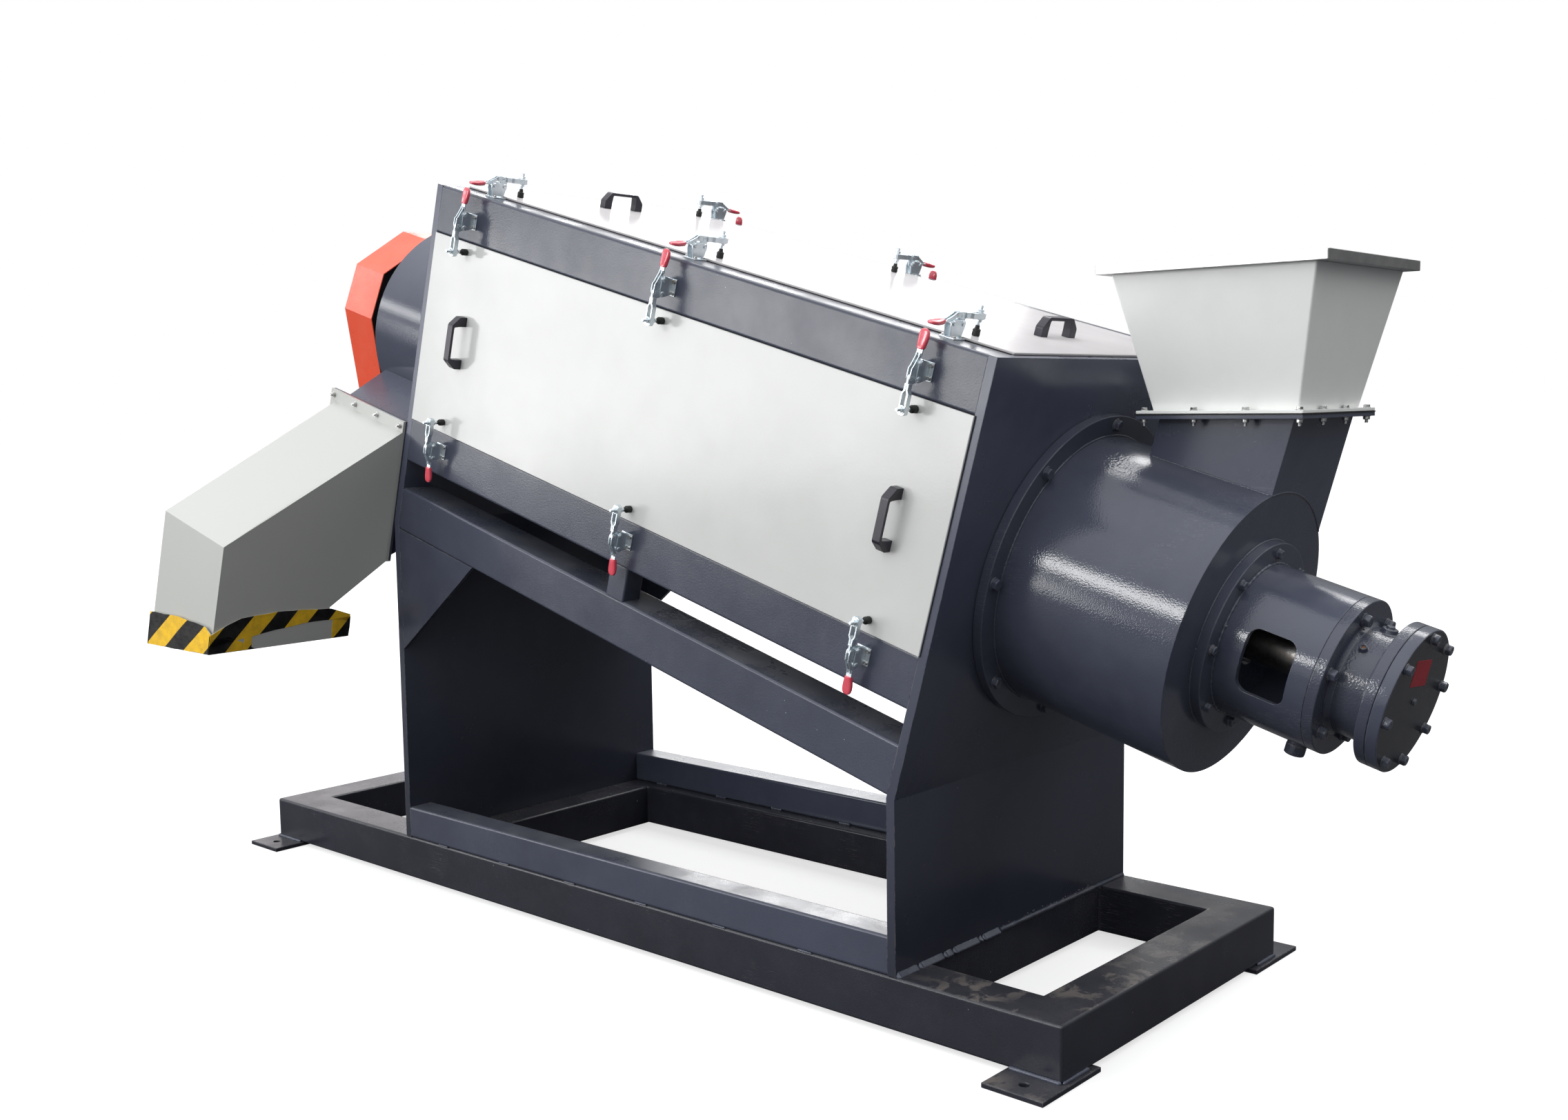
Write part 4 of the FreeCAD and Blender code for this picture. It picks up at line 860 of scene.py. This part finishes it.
for side, S in BASES.items():
    piece("toggle_bases_" + side, S, [zinc, bolt_zinc], stands_for=("clamp_bases_" + side,))

# ------------------------------------------------------------ feed end
S = Shape()
lathe(S, INC, fillet([(0.5, 322), (0.5, 372), (25, 372), (25, 322)], [0, 2.5, 2.5, 0], 3), cz=AV, seg=160)
for k in range(8):
    a = math.radians(90 + 45 * k)
    hexbolt(S, INC @ tr(25, -350 * math.cos(a), AV + 350 * math.sin(a)) @ rot("Y", 90), 24, 10, 15.5, 3, spin=0.35 * k)
piece("feed_flange", S, [drum_paint], stands_for=("inlet_flange",))

S = Shape()
lathe(S, INC, fillet([(454, 60), (454, 218), (478, 218), (478, 60)], [0, 2.5, 2.5, 0], 3), cz=AV, seg=128)
for k in range(8):
    a = math.radians(90 + 45 * k)
    hexbolt(S, INC @ tr(478, -195 * math.cos(a), AV + 195 * math.sin(a)) @ rot("Y", 90), 19, 8, 12, 2.5, spin=0.5 * k)
piece("seal_flange", S, [drum_paint], stands_for=("shaft_seal_flange",))

S = Shape()
lathe(S, INC, fillet([(684.4, 46), (684.4, 172), (708, 172), (708, 46)], [0, 1.2, 2.5, 0], 3), cz=AV, seg=112)
lathe(S, INC, fillet([(700, 46), (700, 118), (792, 118), (792, 46)], [0, 0, 0, 0], 2), cz=AV, seg=96)
# the casting swells towards both flanges
lathe(S, INC, [(707, 100), (707, 127), (711, 121), (718, 118.4), (718, 100)], cz=AV, seg=96)
lathe(S, INC, [(776, 100), (776, 118.3), (784, 120.5), (789.5, 126), (789.5, 100)], cz=AV, seg=96)
lathe(S, INC, fillet([(789, 46), (789, 156), (812, 156), (812, 46)], [0, 2.0, 2.0, 0], 3), cz=AV, seg=112)
for deg in (131, 72, 12, -47, -108, 192):
    a = math.radians(deg)
    hexbolt(S, INC @ tr(708, -143 * math.cos(a), AV + 143 * math.sin(a)) @ rot("Y", 90), 24, 13, 15, 3, spin=a)
# lifting eye boss on top
lathe(S, INC @ tr(750, 0, AV + 112) @ ALONG_Z, fillet([(0, 0), (0, 21), (10, 17), (15, 16.5), (15, 0)], [0, 0, 3, 2, 0], 3), seg=28, closed=False)
lathe(S, INC @ tr(750, 0, AV + 126) @ ALONG_Z, disc(0, 6, 9, 1.5), seg=20)
# grease point: a short socket with a rusty bore
Mg = INC @ tr(738, -116 * math.cos(math.radians(47)), AV + 116 * math.sin(math.radians(47))) @ rot("X", 43)
lathe(S, Mg @ ALONG_Z, fillet([(0, 4.6), (0, 11), (4, 8.2), (13, 7.4), (13, 4.6)], [0, 0, 2, 1.2, 0.8], 3), seg=24)
lathe(S, Mg @ ALONG_Z, disc(0, 9.5, 4.7, 0.4), seg=20, mat=1)
piece("bearing_body", S, [cast_paint, rust], stands_for=("bearing_housing",))

S = Shape()
lathe(S, INC, [(812.6, 0.0), (812.6, 154.5), (814, 156), (835.5, 156), (837.4, 154.8), (838, 152.5), (838, 0.0)], cz=AV, seg=112, closed=False)
for deg in (87, 39, -9, -59, -105, -146, 174, 132):
    a = math.radians(deg)
    hexbolt(S, INC @ tr(838, -139 * math.cos(a), AV + 139 * math.sin(a)) @ rot("Y", 90), 20, 11.4, 12.4, 2.4, spin=a * 2, mat=1)
hexbolt(S, INC @ tr(838, 0, AV) @ rot("Y", 90), 13, 5, 0, 0)
for f in range(len(S.f)):
    # the round face itself is a darker coat
    if S.m[f] == 0 and len(S.f[f]) == 3:
        S.m[f] = 2
piece("end_cap", S, [drum_paint, cast_paint, cap_paint], stands_for=("bearing_end_cover",))

# a plain red patch on the end cap
S = Shape()
PATCH = [(-54.2, 602.6), (30.3, 594.1), (36.8, 535.9), (-52.3, 544.4)]
prism(S, INC, PATCH, "yz", 837.6, 838.5, 0.2, 1)
piece("cap_patch", S, [red_patch])

# pipe nipple under the bearing
S = Shape()
Md = INC @ tr(636, 0, AV) @ rot("Y", 90)
lathe(S, Md, fillet([(166, 9), (166, 21), (186, 21), (186, 9)], [0, 2, 1, 2], 3), seg=40)
lathe(S, Md, fillet([(169, 20), (169, 26), (174, 22), (174, 20)], [0, 1, 1, 0], 2), seg=40)
hexbolt(S, INC @ tr(636, 0, AV - 182) @ rot("X", 180), 43, 22.5, 0, 0, spin=0.25)
piece("drain_socket", S, [cast_paint], stands_for=("drain_plug",))

# ------------------------------------------------------------ welds
S = Shape()


def circle(u, r, a0, a1, n=140):
    return [(u, -r * math.cos(math.radians(a0 + (a1 - a0) * i / n)), AV + r * math.sin(math.radians(a0 + (a1 - a0) * i / n))) for i in range(n + 1)]


bead(S, INC, circle(26, 326, -200, 158), 3.0, seed=2, up=(1, 0, 0))
bead(S, INC, circle(454.5, 218.5, 0, 360), 2.6, seed=3, up=(1, 0, 0))
bead(S, INC, circle(478.5, 173, 0, 360), 3.6, seed=4, up=(1, 0, 0))
bead(S, INC, circle(L0 - 1, 326, 0, 360), 3.2, seed=7, up=(1, 0, 0))
# spout on the drum
ys = (-59, 241)
for y in ys:
    v = AV + math.sqrt(325 ** 2 - y * y)
    bead(S, INC, [(157, y, v), (453, y, v)], 2.6, seed=8 + int(y), ripple=0.3, pitch=9, up=(0, 0, 1))
bead(S, INC, [(157, y, AV + math.sqrt(325 ** 2 - y * y) + 0.5) for y in range(-59, 242, 12)], 3.0, seed=187, up=(0, 0, 1))
bead(S, INC, [(453.6, y, AV + math.sqrt(325 ** 2 - y * y) - 0.8) for y in range(-59, 242, 12)], 2.2, seed=484, up=(0, 0, 1))
# drips and spatter along the bearing flanges
rs = random.Random(77)
for i in range(30):
    a = math.radians(rs.uniform(-40, 170))
    du, dr = rs.choice(((711.5, 121.0), (715, 118.8), (785, 121.5), (480.5, 173.2), (482.5, 172.8)))
    bm = bmesh.new()
    bmesh.ops.create_icosphere(bm, subdivisions=2, radius=rs.uniform(1.1, 2.4))
    S.add_bm(bm, INC @ tr(du, -dr * math.cos(a), AV + dr * math.sin(a)))
# end plates on the base, and the upper beams
def fillet_weld(x, sgn, y0, y1, leg, seed):
    """A fillet weld with crisp toes, in the corner of a plate and a beam's top."""
    rw = random.Random(seed)
    loops = []
    k = max(2, int((y1 - y0) / 5))
    for i in range(k + 1):
        y = y0 + (y1 - y0) * i / k
        e = min(1.0, min(i, k - i) / 1.2 + 0.35)
        a = leg * e * (1 + 0.07 * rw.uniform(-1, 1))
        b = leg * e * (1 + 0.07 * rw.uniform(-1, 1))
        c = 0.60 * leg * e
        loops.append([(x - sgn * 2, y, BT - 2), (x + sgn * a, y, BT - 2), (x + sgn * a, y, BT + 0.8), (x + sgn * (a - 1.2), y, BT + 1.9), (x + sgn * c * 0.86, y, BT + c * 0.86),
                      (x + sgn * 1.9, y, BT + b - 1.2), (x + sgn * 0.8, y, BT + b), (x - sgn * 2, y, BT + b)])
    loft(S, WORLD, loops)


for y0, y1 in ((-497, -418), (-416, -322), (-320, -286), (-284, -180), (-178, -166), (-164, -92)):
    fillet_weld(RX, 1, y0, y1, 10.5, int(-y0))
bead(S, WORLD, [(RX + 2, -90, BT + 3), (RX + 2, 496, BT + 3)], 4.6, seed=42, pitch=6, ripple=0.34, up=(0, 0, 1))
for i in range(34):
    yb = rs.uniform(-110, 330)
    bm = bmesh.new()
    bmesh.ops.create_icosphere(bm, subdivisions=1, radius=rs.uniform(1.0, 2.4))
    S.add_bm(bm, WORLD @ tr(RX + 0.5, yb, BT + rs.uniform(7, 14)))
for y0, y1 in ((-497, -380), (-377, -210), (-206, -60), (-57, 120), (124, 300), (303, 496)):
    fillet_weld(LX, -1, y0, y1, 9.5, int(abs(y0)) + 3)
# stitches between the upper beams and the long beams, on the inner side
for y in (-419.5, 419.5):
    for x in (-635, -359, -117, 162, 440, 720):
        bead(S, WORLD, [(x - 24, y, BT + 2.5), (x + 24, y, BT + 2.5)], 4.4, seed=int(x) % 83, ripple=0.25, up=(0, 0, 1))
for y in (-374, 374):
    for x in (-635, -359, -117, 162, 480, 760):
        bead(S, WORLD, [(x - 22, y * 420 / 374, BT + 1), (x + 22, y * 420 / 374, BT + 1)], 4.2, seed=int(x) % 97)
for y in (-500.5, 500.5):
    for x in (-600, -320, -40, 240, 520, 800):
        bead(S, WORLD, [(x - 22, y, BT), (x + 22, y, BT)], 2.2, seed=int(x) % 89, up=(0, 1, 0))
# feet
for sx in (-1, 1):
    for sy in (-1, 1):
        x0, x1 = sx * 1371, sx * 1500
        bead(S, WORLD, [(x0, sy * 502, 14), (x1, sy * 502, 14)], 4.5, seed=60 + sx + 3 * sy)
        bead(S, WORLD, [(sx * 1502, sy * 400, 14), (sx * 1502, sy * 498, 14)], 4.5, seed=70 + sx + 3 * sy)
piece("weld_beads", S, [drum_paint], angle=60, weighted=False)

# ------------------------------------------------------------ blistered paint on the feed drum
from mathutils import noise as mnoise
S = Shape()
gv, gf = [], []
NU, NA = 104, 60
for i in range(NU + 1):
    for j in range(NA + 1):
        u = 48 + 156 * i / NU
        ang = 57 + 19.0 * j / NA
        p = Vector((u / 11.0, ang * 5.67 / 5.5, 0.0))
        w = mnoise.fractal(p * 0.9, 1.0, 2.0, 3)
        ridge = max(0.0, 1.0 - abs(w) * 5.0)
        cell = max(0.0, 0.55 - mnoise.voronoi(p * 1.1)[0][0]) * 1.6
        du, da = (u - 122) / 74.0, (ang - (69.5 - 0.045 * (u - 60))) / 7.6
        m = max(0.0, 1.0 - (du * du + da * da)) ** 0.6
        h = -0.35 + m * (0.35 + 0.55 * ridge + 0.50 * cell)
        r = 325 + h
        a = math.radians(ang)
        gv.append((u, -r * math.cos(a), AV + r * math.sin(a)))
for i in range(NU):
    for j in range(NA):
        k = i * (NA + 1) + j
        gf.append([k, k + 1, k + NA + 2, k + NA + 1])
c0 = Vector(gv[0])
nn = (Vector(gv[1]) - c0).cross(Vector(gv[NA + 2]) - c0)
if nn.dot(Vector((0, c0.y, c0.z - AV))) < 0:
    gf = [list(reversed(f)) for f in gf]
S.add(gv, gf, INC)
piece("drum_blister", S, [drum_paint], angle=80, weighted=False)

# ------------------------------------------------------------ hopper
HXC, HYC = 1622.0, 88.0
S = Shape()
W = 4.0
L = [rrect(HXC, HYC, 331, 302, 5, 1380, 5), rrect(HXC, HYC, 462, 452, 5, 1684, 5),
     rrect(HXC, HYC, 462 - 2 * W, 452 - 2 * W, 2, 1684, 5), rrect(HXC, HYC, 331 - 2 * W, 302 - 2 * W, 2, 1380, 5)]
loft(S, WORLD, L, closed=True)
L = [rrect(HXC, HYC, 380, 374, 3, 1382.5, 5), rrect(HXC, HYC, 381, 375, 3, 1383, 5), rrect(HXC, HYC, 381, 375, 3, 1388.4, 5), rrect(HXC, HYC, 380, 374, 3, 1389, 5),
     rrect(HXC, HYC, 325, 296, 3, 1389, 5), rrect(HXC, HYC, 325, 296, 3, 1382.5, 5)]
loft(S, WORLD, L, closed=True)
piece("hopper_sheet", S, [cream_hopper_lit], stands_for=("hopper_body",), angle=35)
S = Shape()
L = [rrect(HXC, HYC, 522, 486, 3, 1684.6, 4), rrect(HXC, HYC, 522, 486, 3, 1704.8, 4), rrect(HXC, HYC, 519.5, 483.5, 2.5, 1706, 4),
     rrect(HXC, HYC, 456, 446, 2, 1706, 4), rrect(HXC, HYC, 454, 444, 2, 1704.8, 4), rrect(HXC, HYC, 454, 444, 2, 1684, 4),
     rrect(HXC, HYC, 460, 450, 2, 1684, 4), rrect(HXC, HYC, 519.5, 483.5, 2.5, 1684, 4)]
loft(S, WORLD, L, closed=True)
piece("hopper_rim_ring", S, [bare_steel], stands_for=("hopper_rim",), angle=35)
S = Shape()
xs = [HXC - 177 + 118 * i for i in range(4)]
yy = [HYC - 173 + 115.33 * i for i in range(4)]
spots = [(x, yy[0]) for x in xs] + [(x, yy[3]) for x in xs] + [(xs[0], y) for y in yy[1:3]] + [(xs[3], y) for y in yy[1:3]]
for i, (x, y) in enumerate(spots):
    hexbolt(S, WORLD @ tr(x, y, 1389), 13, 5.5, 8.5, 1.5, spin=i * 0.7)
    Mn = WORLD @ tr(x, y, 1371) @ rot("X", 180)
    lathe(S, Mn @ ALONG_Z, disc(0, 1.6, 8.5, 0.4), seg=24)
    nut(S, Mn @ tr(0, 0, 1.5), 13, 6.5, stub=7, rod=4, spin=i * 0.4)
piece("hopper_bolts", S, [bolt_zinc])
S = Shape()
L = [rrect(HXC, HYC, 384, 378, 4, 1379.8, 4), rrect(HXC, HYC, 384, 378, 4, 1382.3, 4), rrect(HXC, HYC, 326, 297, 4, 1382.3, 4), rrect(HXC, HYC, 326, 297, 4, 1379.8, 4)]
loft(S, WORLD, L, closed=True)
piece("hopper_gasket", S, [rubber], angle=30)

# ------------------------------------------------------------ chute mouth
def vz(u, z):
    return (z - 540 + u * ST) / CT


S = Shape()
for u0, u1 in ((-1956, -1951), (-2287, -2282)):
    um = (u0 + u1) / 2
    k = vz(um, 0) - vz(-1953.5, 0)
    side = [(-1040, -288 + k), (-1030, -282.5 + k), (-990, -262 + k), (-951, -247 + k), (-845, -240 + k), (-760, -243 + k), (-665, -250 + k), (-597, -276 + k),
            (-595, vz(um, 743)), (-1040, vz(um, 743))]
    prism(S, INC, side, "yz", u0, u1, 0.6, 1)
front = [(-2287, vz(-2287, 838)), (-1982, -273.5), (-1951, -284), (-1951, vz(-1951, 743)), (-2287, vz(-2287, 743))]
prism(S, INC, front, "xz", -1039.3, -1035.2, 0.6, 1)
back = [(-2287, vz(-2287, 796)), (-1951, vz(-1951, 796)), (-1951, vz(-1951, 743)), (-2287, vz(-2287, 743))]
prism(S, INC, back, "xz", -600, -595, 0.6, 1)
piece("mouth_collar", S, [cream_chute], stands_for=("chute_mouth_collar",))


def ribbon(S, outline, plane, a, b, seed):
    """A strip of tape: its outline resampled and laid a little unevenly."""
    rnd = random.Random(seed)
    out = []
    n = len(outline)
    for i in range(n):
        p, q = Vector(outline[i]), Vector(outline[(i + 1) % n])
        k = max(1, int((q - p).length / 26))
        for j in range(k):
            r = p.lerp(q, j / k)
            d = 0.0 if j == 0 else 1.3
            out.append((r.x + rnd.uniform(-d, d), r.y + rnd.uniform(-d, d)))
    prism(S, INC, out, plane, a, b, 0.15, 1)


S = Shape()
for u0, u1 in ((-1951, -1950.3), (-2287.7, -2287)):
    k = vz(u0, 0) - vz(-1951, 0)
    bot = vz(u0, 743)
    upper = [(-1040, -286.2), (-1030, -280.7), (-990, -260.2), (-951, -245.2), (-900, -241.5), (-845, -238.2), (-760, -241.2), (-665, -248.2), (-597, -274),
             (-597, -296), (-655, -284), (-752, -284), (-840, -293), (-914, -305), (-956, -309), (-1000, -316), (-1040, -322)]
    ribbon(S, [(y, v + k) for y, v in upper], "yz", u0, u1, 5)
    ribbon(S, [(-1040.0, -300 + k), (-985, -296 + k), (-940, -318 + k), (-900, bot + 1), (-1040.0, bot + 1)], "yz", u0, u1, 6)
    ribbon(S, [(-936, -268 + k), (-914, -262 + k), (-910, bot + 0.8), (-934, bot + 0.8)], "yz", u0 - 0.15, u1 + 0.15, 7)
    ribbon(S, [(-655, -283 + k), (-595.4, -281 + k), (-595.4, bot + 0.8), (-652, bot + 0.8)], "yz", u0, u1, 8)
ribbon(S, [(-2287.4, vz(-2287, 840)), (-2130, -295), (-1982, -271.5), (-1950.6, -283), (-1950.6, vz(-1951, 743.8)), (-2287.4, vz(-2287, 743.8))], "xz", -1040.0, -1039.2, 9)
ribbon(S, [(-2287, vz(-2287, 794)), (-1951, vz(-1951, 794)), (-1951, vz(-1951, 744)), (-2287, vz(-2287, 744))], "xz", -595.1, -594.6, 10)
piece("mouth_tape", S, [tape], angle=30)

# ------------------------------------------------------------ chute side and bolts
S = Shape()
V = [(-1934.4, -508.2, 316.0), (-1956.6, -1022, -31), (-1956.6, -666, -246.6), (-1934.4, -508.2, -110.6),
     (-1957.6, -508.2, 284.4), (-1957.6, -1020, -31.5), (-1957.6, -667, -245.6), (-1957.6, -508.2, -107.5)]
V[0] = (-1934.4, -508.2, 284.4)
S.add(V, [[0, 2, 1], [0, 3, 2], [4, 5, 6], [4, 6, 7], [0, 1, 5, 4], [1, 2, 6, 5], [2, 3, 7, 6], [3, 0, 4, 7]], INC)
piece("chute_side", S, [cream_chute], angle=20, weighted=False)
S = Shape()
for i, u in enumerate((-2296, -2182, -2068, -1950)):
    nut(S, INC @ tr(u, -508, 300.5) @ rot("X", 90) @ tr(0, 0, 1.4), 13, 6.5, stub=5, rod=4, spin=i, mat=1)
    lathe(S, INC @ tr(u, -508, 300.5) @ rot("X", 90) @ ALONG_Z, disc(0, 1.6, 9, 0.4), seg=24, mat=1)
for i, v in enumerate((196, 92, -12)):
    nut(S, INC @ tr(-2297, -508, v) @ rot("X", 90) @ tr(0, 0, 1.4), 13, 6.5, stub=5, rod=4, spin=i, mat=1)
    lathe(S, INC @ tr(-2297, -508, v) @ rot("X", 90) @ ALONG_Z, disc(0, 1.6, 9, 0.4), seg=24, mat=1)
piece("chute_bolts", S, [cream_chute, bolt_zinc])

# ------------------------------------------------------------ stage
fm = Mat("stage_floor")
lp = fm.n("ShaderNodeLightPath")
d1 = fm.n("ShaderNodeBsdfDiffuse")
d1.inputs[0].default_value = (0.42, 0.42, 0.42, 1)
em = fm.n("ShaderNodeEmission")
em.inputs[0].default_value = (0.66, 0.66, 0.66, 1)
sm = fm.n("ShaderNodeAddShader")
fm.link(d1.outputs[0], sm.inputs[0])
fm.link(em.outputs[0], sm.inputs[1])
d2 = fm.n("ShaderNodeBsdfPrincipled")
d2.inputs["Base Color"].default_value = (0.05, 0.05, 0.053, 1)
d2.inputs["Roughness"].default_value = 0.5
d2.inputs["Specular IOR Level"].default_value = 0.15
mx = fm.n("ShaderNodeMixShader")
fm.link(lp.outputs["Is Camera Ray"], mx.inputs[0])
fm.link(d2.outputs[0], mx.inputs[1])
fm.link(sm.outputs[0], mx.inputs[2])
fm.link(mx.outputs[0], fm.out.inputs[0])
bm = bmesh.new()
bmesh.ops.create_grid(bm, x_segments=2, y_segments=2, size=60.0)
me = bpy.data.meshes.new("floor")
bm.to_mesh(me)
bm.free()
me.materials.append(fm.m)
floor = bpy.data.objects.new("floor", me)
bpy.context.scene.collection.objects.link(floor)

# ------------------------------------------------------------ light
# a soft studio dome, brighter towards the front left and overhead
world = bpy.data.worlds.new("studio")
bpy.context.scene.world = world
world.use_nodes = True
wt = world.node_tree
wt.nodes.clear()


def wn(kind, **kw):
    nd = wt.nodes.new(kind)
    for k, v in kw.items():
        setattr(nd, k, v)
    return nd


def lobe(direction, lo, hi, gain):
    """gain where the sky direction is close to `direction`, easing to 0."""
    d = wn("ShaderNodeVectorMath", operation="DOT_PRODUCT")
    wt.links.new(nrm.outputs[0], d.inputs[0])
    d.inputs[1].default_value = Vector(direction).normalized()
    r = wn("ShaderNodeMapRange", interpolation_type="SMOOTHSTEP")
    wt.links.new(d.outputs["Value"], r.inputs["Value"])
    r.inputs["From Min"].default_value, r.inputs["From Max"].default_value = lo, hi
    r.inputs["To Min"].default_value, r.inputs["To Max"].default_value = 0.0, gain
    return r.outputs[0]


tc = wn("ShaderNodeTexCoord")
nrm = wn("ShaderNodeVectorMath", operation="NORMALIZE")
wt.links.new(tc.outputs["Generated"], nrm.inputs[0])
total = None
for d, lo, hi, g in (((-0.15, -0.85, 0.50), -0.1, 0.95, 0.84), ((0, 0, 1), 0.15, 0.95, 0.80), ((0, 0, 1), -0.02, 0.12, 0.20)):
    o = lobe(d, lo, hi, g)
    if total is None:
        total = o
    else:
        ad = wn("ShaderNodeMath", operation="ADD")
        wt.links.new(total, ad.inputs[0])
        wt.links.new(o, ad.inputs[1])
        total = ad.outputs[0]
ad = wn("ShaderNodeMath", operation="ADD")
wt.links.new(total, ad.inputs[0])
ad.inputs[1].default_value = 0.06
bg_env = wn("ShaderNodeBackground")
bg_env.inputs[0].default_value = (0.97, 0.985, 1.0, 1)
wt.links.new(ad.outputs[0], bg_env.inputs[1])
bg_cam = wn("ShaderNodeBackground")
bg_cam.inputs[0].default_value = (1.0, 1.0, 1.0, 1)
wmix = wn("ShaderNodeMixShader")
wlp = wn("ShaderNodeLightPath")
wo = wn("ShaderNodeOutputWorld")
wt.links.new(wlp.outputs["Is Camera Ray"], wmix.inputs[0])
wt.links.new(bg_env.outputs[0], wmix.inputs[1])
wt.links.new(bg_cam.outputs[0], wmix.inputs[2])
wt.links.new(wmix.outputs[0], wo.inputs[0])


def lamp(name, az, el, dist, w, h, radiance, target=(0.3, 0, 0.8), col=(1, 1, 1)):
    a, e = math.radians(az), math.radians(el)
    d = Vector((math.cos(e) * math.cos(a), math.cos(e) * math.sin(a), math.sin(e)))
    L = bpy.data.lights.new(name, "AREA")
    L.shape, L.size, L.size_y = "RECTANGLE", w, h
    L.energy = radiance * math.pi * w * h
    L.color = col
    ob = bpy.data.objects.new(name, L)
    ob.location = Vector(target) + d * dist
    ob.rotation_euler = (-d).to_track_quat("-Z", "Y").to_euler()
    ob.visible_camera = False
    bpy.context.scene.collection.objects.link(ob)
    return ob


lamp("window_front_left", -129, 5, 13.0, 7.2, 2.8, 5.5)
lamp("window_far_left", -142, 16, 9.0, 2.4, 0.9, 6.0, target=(-0.9, -0.3, 1.7))
lamp("window_rear", 133, 19, 9.0, 5.0, 2.6, 6.5)
lamp("overhead", 120, 73, 5.5, 4.5, 1.4, 4.6)
lamp("side_low", -112, 18.5, 7.0, 2.3, 1.0, 14.0, target=(1.6, -0.3, 1.0))
lamp("window_rear_left", 148, 14, 6.5, 2.6, 1.3, 1.1, target=(-1.3, -0.2, 0.15), col=(1.0, 0.93, 0.96))
lamp("rear_high", 104, 50, 6.0, 4.0, 1.1, 7.0, target=(1.8, 0, 1.0))
lamp("feed_side", 40, 42, 6.0, 4.0, 3.0, 1.5, target=(1.4, 0, 1.2))

# ------------------------------------------------------------ camera
rz, rx, ry = -0.7299, 0.1019, -0.0141
fwd = Vector((math.sin(rz) * math.cos(rx), math.cos(rz) * math.cos(rx), -math.sin(rx)))
right = Vector((math.cos(rz), -math.sin(rz), 0))
up = right.cross(fwd)
r2 = right * math.cos(ry) + up * math.sin(ry)
u2 = right * -math.sin(ry) + up * math.cos(ry)
cam = bpy.data.cameras.new("camera")
cam.sensor_fit, cam.sensor_width, cam.lens = "HORIZONTAL", 36.0, 36.62
cam.clip_end = 200
co = bpy.data.objects.new("camera", cam)
Mc = Matrix((r2, u2, -fwd)).transposed().to_4x4()
Mc.translation = Vector((3.1901, -3.2241, 1.4302))
co.matrix_world = Mc
bpy.context.scene.collection.objects.link(co)
bpy.context.scene.camera = co

vs = bpy.context.scene.view_settings
vs.view_transform = "Standard"
vs.look = "None"
vs.exposure = 0.0
vs.gamma = 1.0
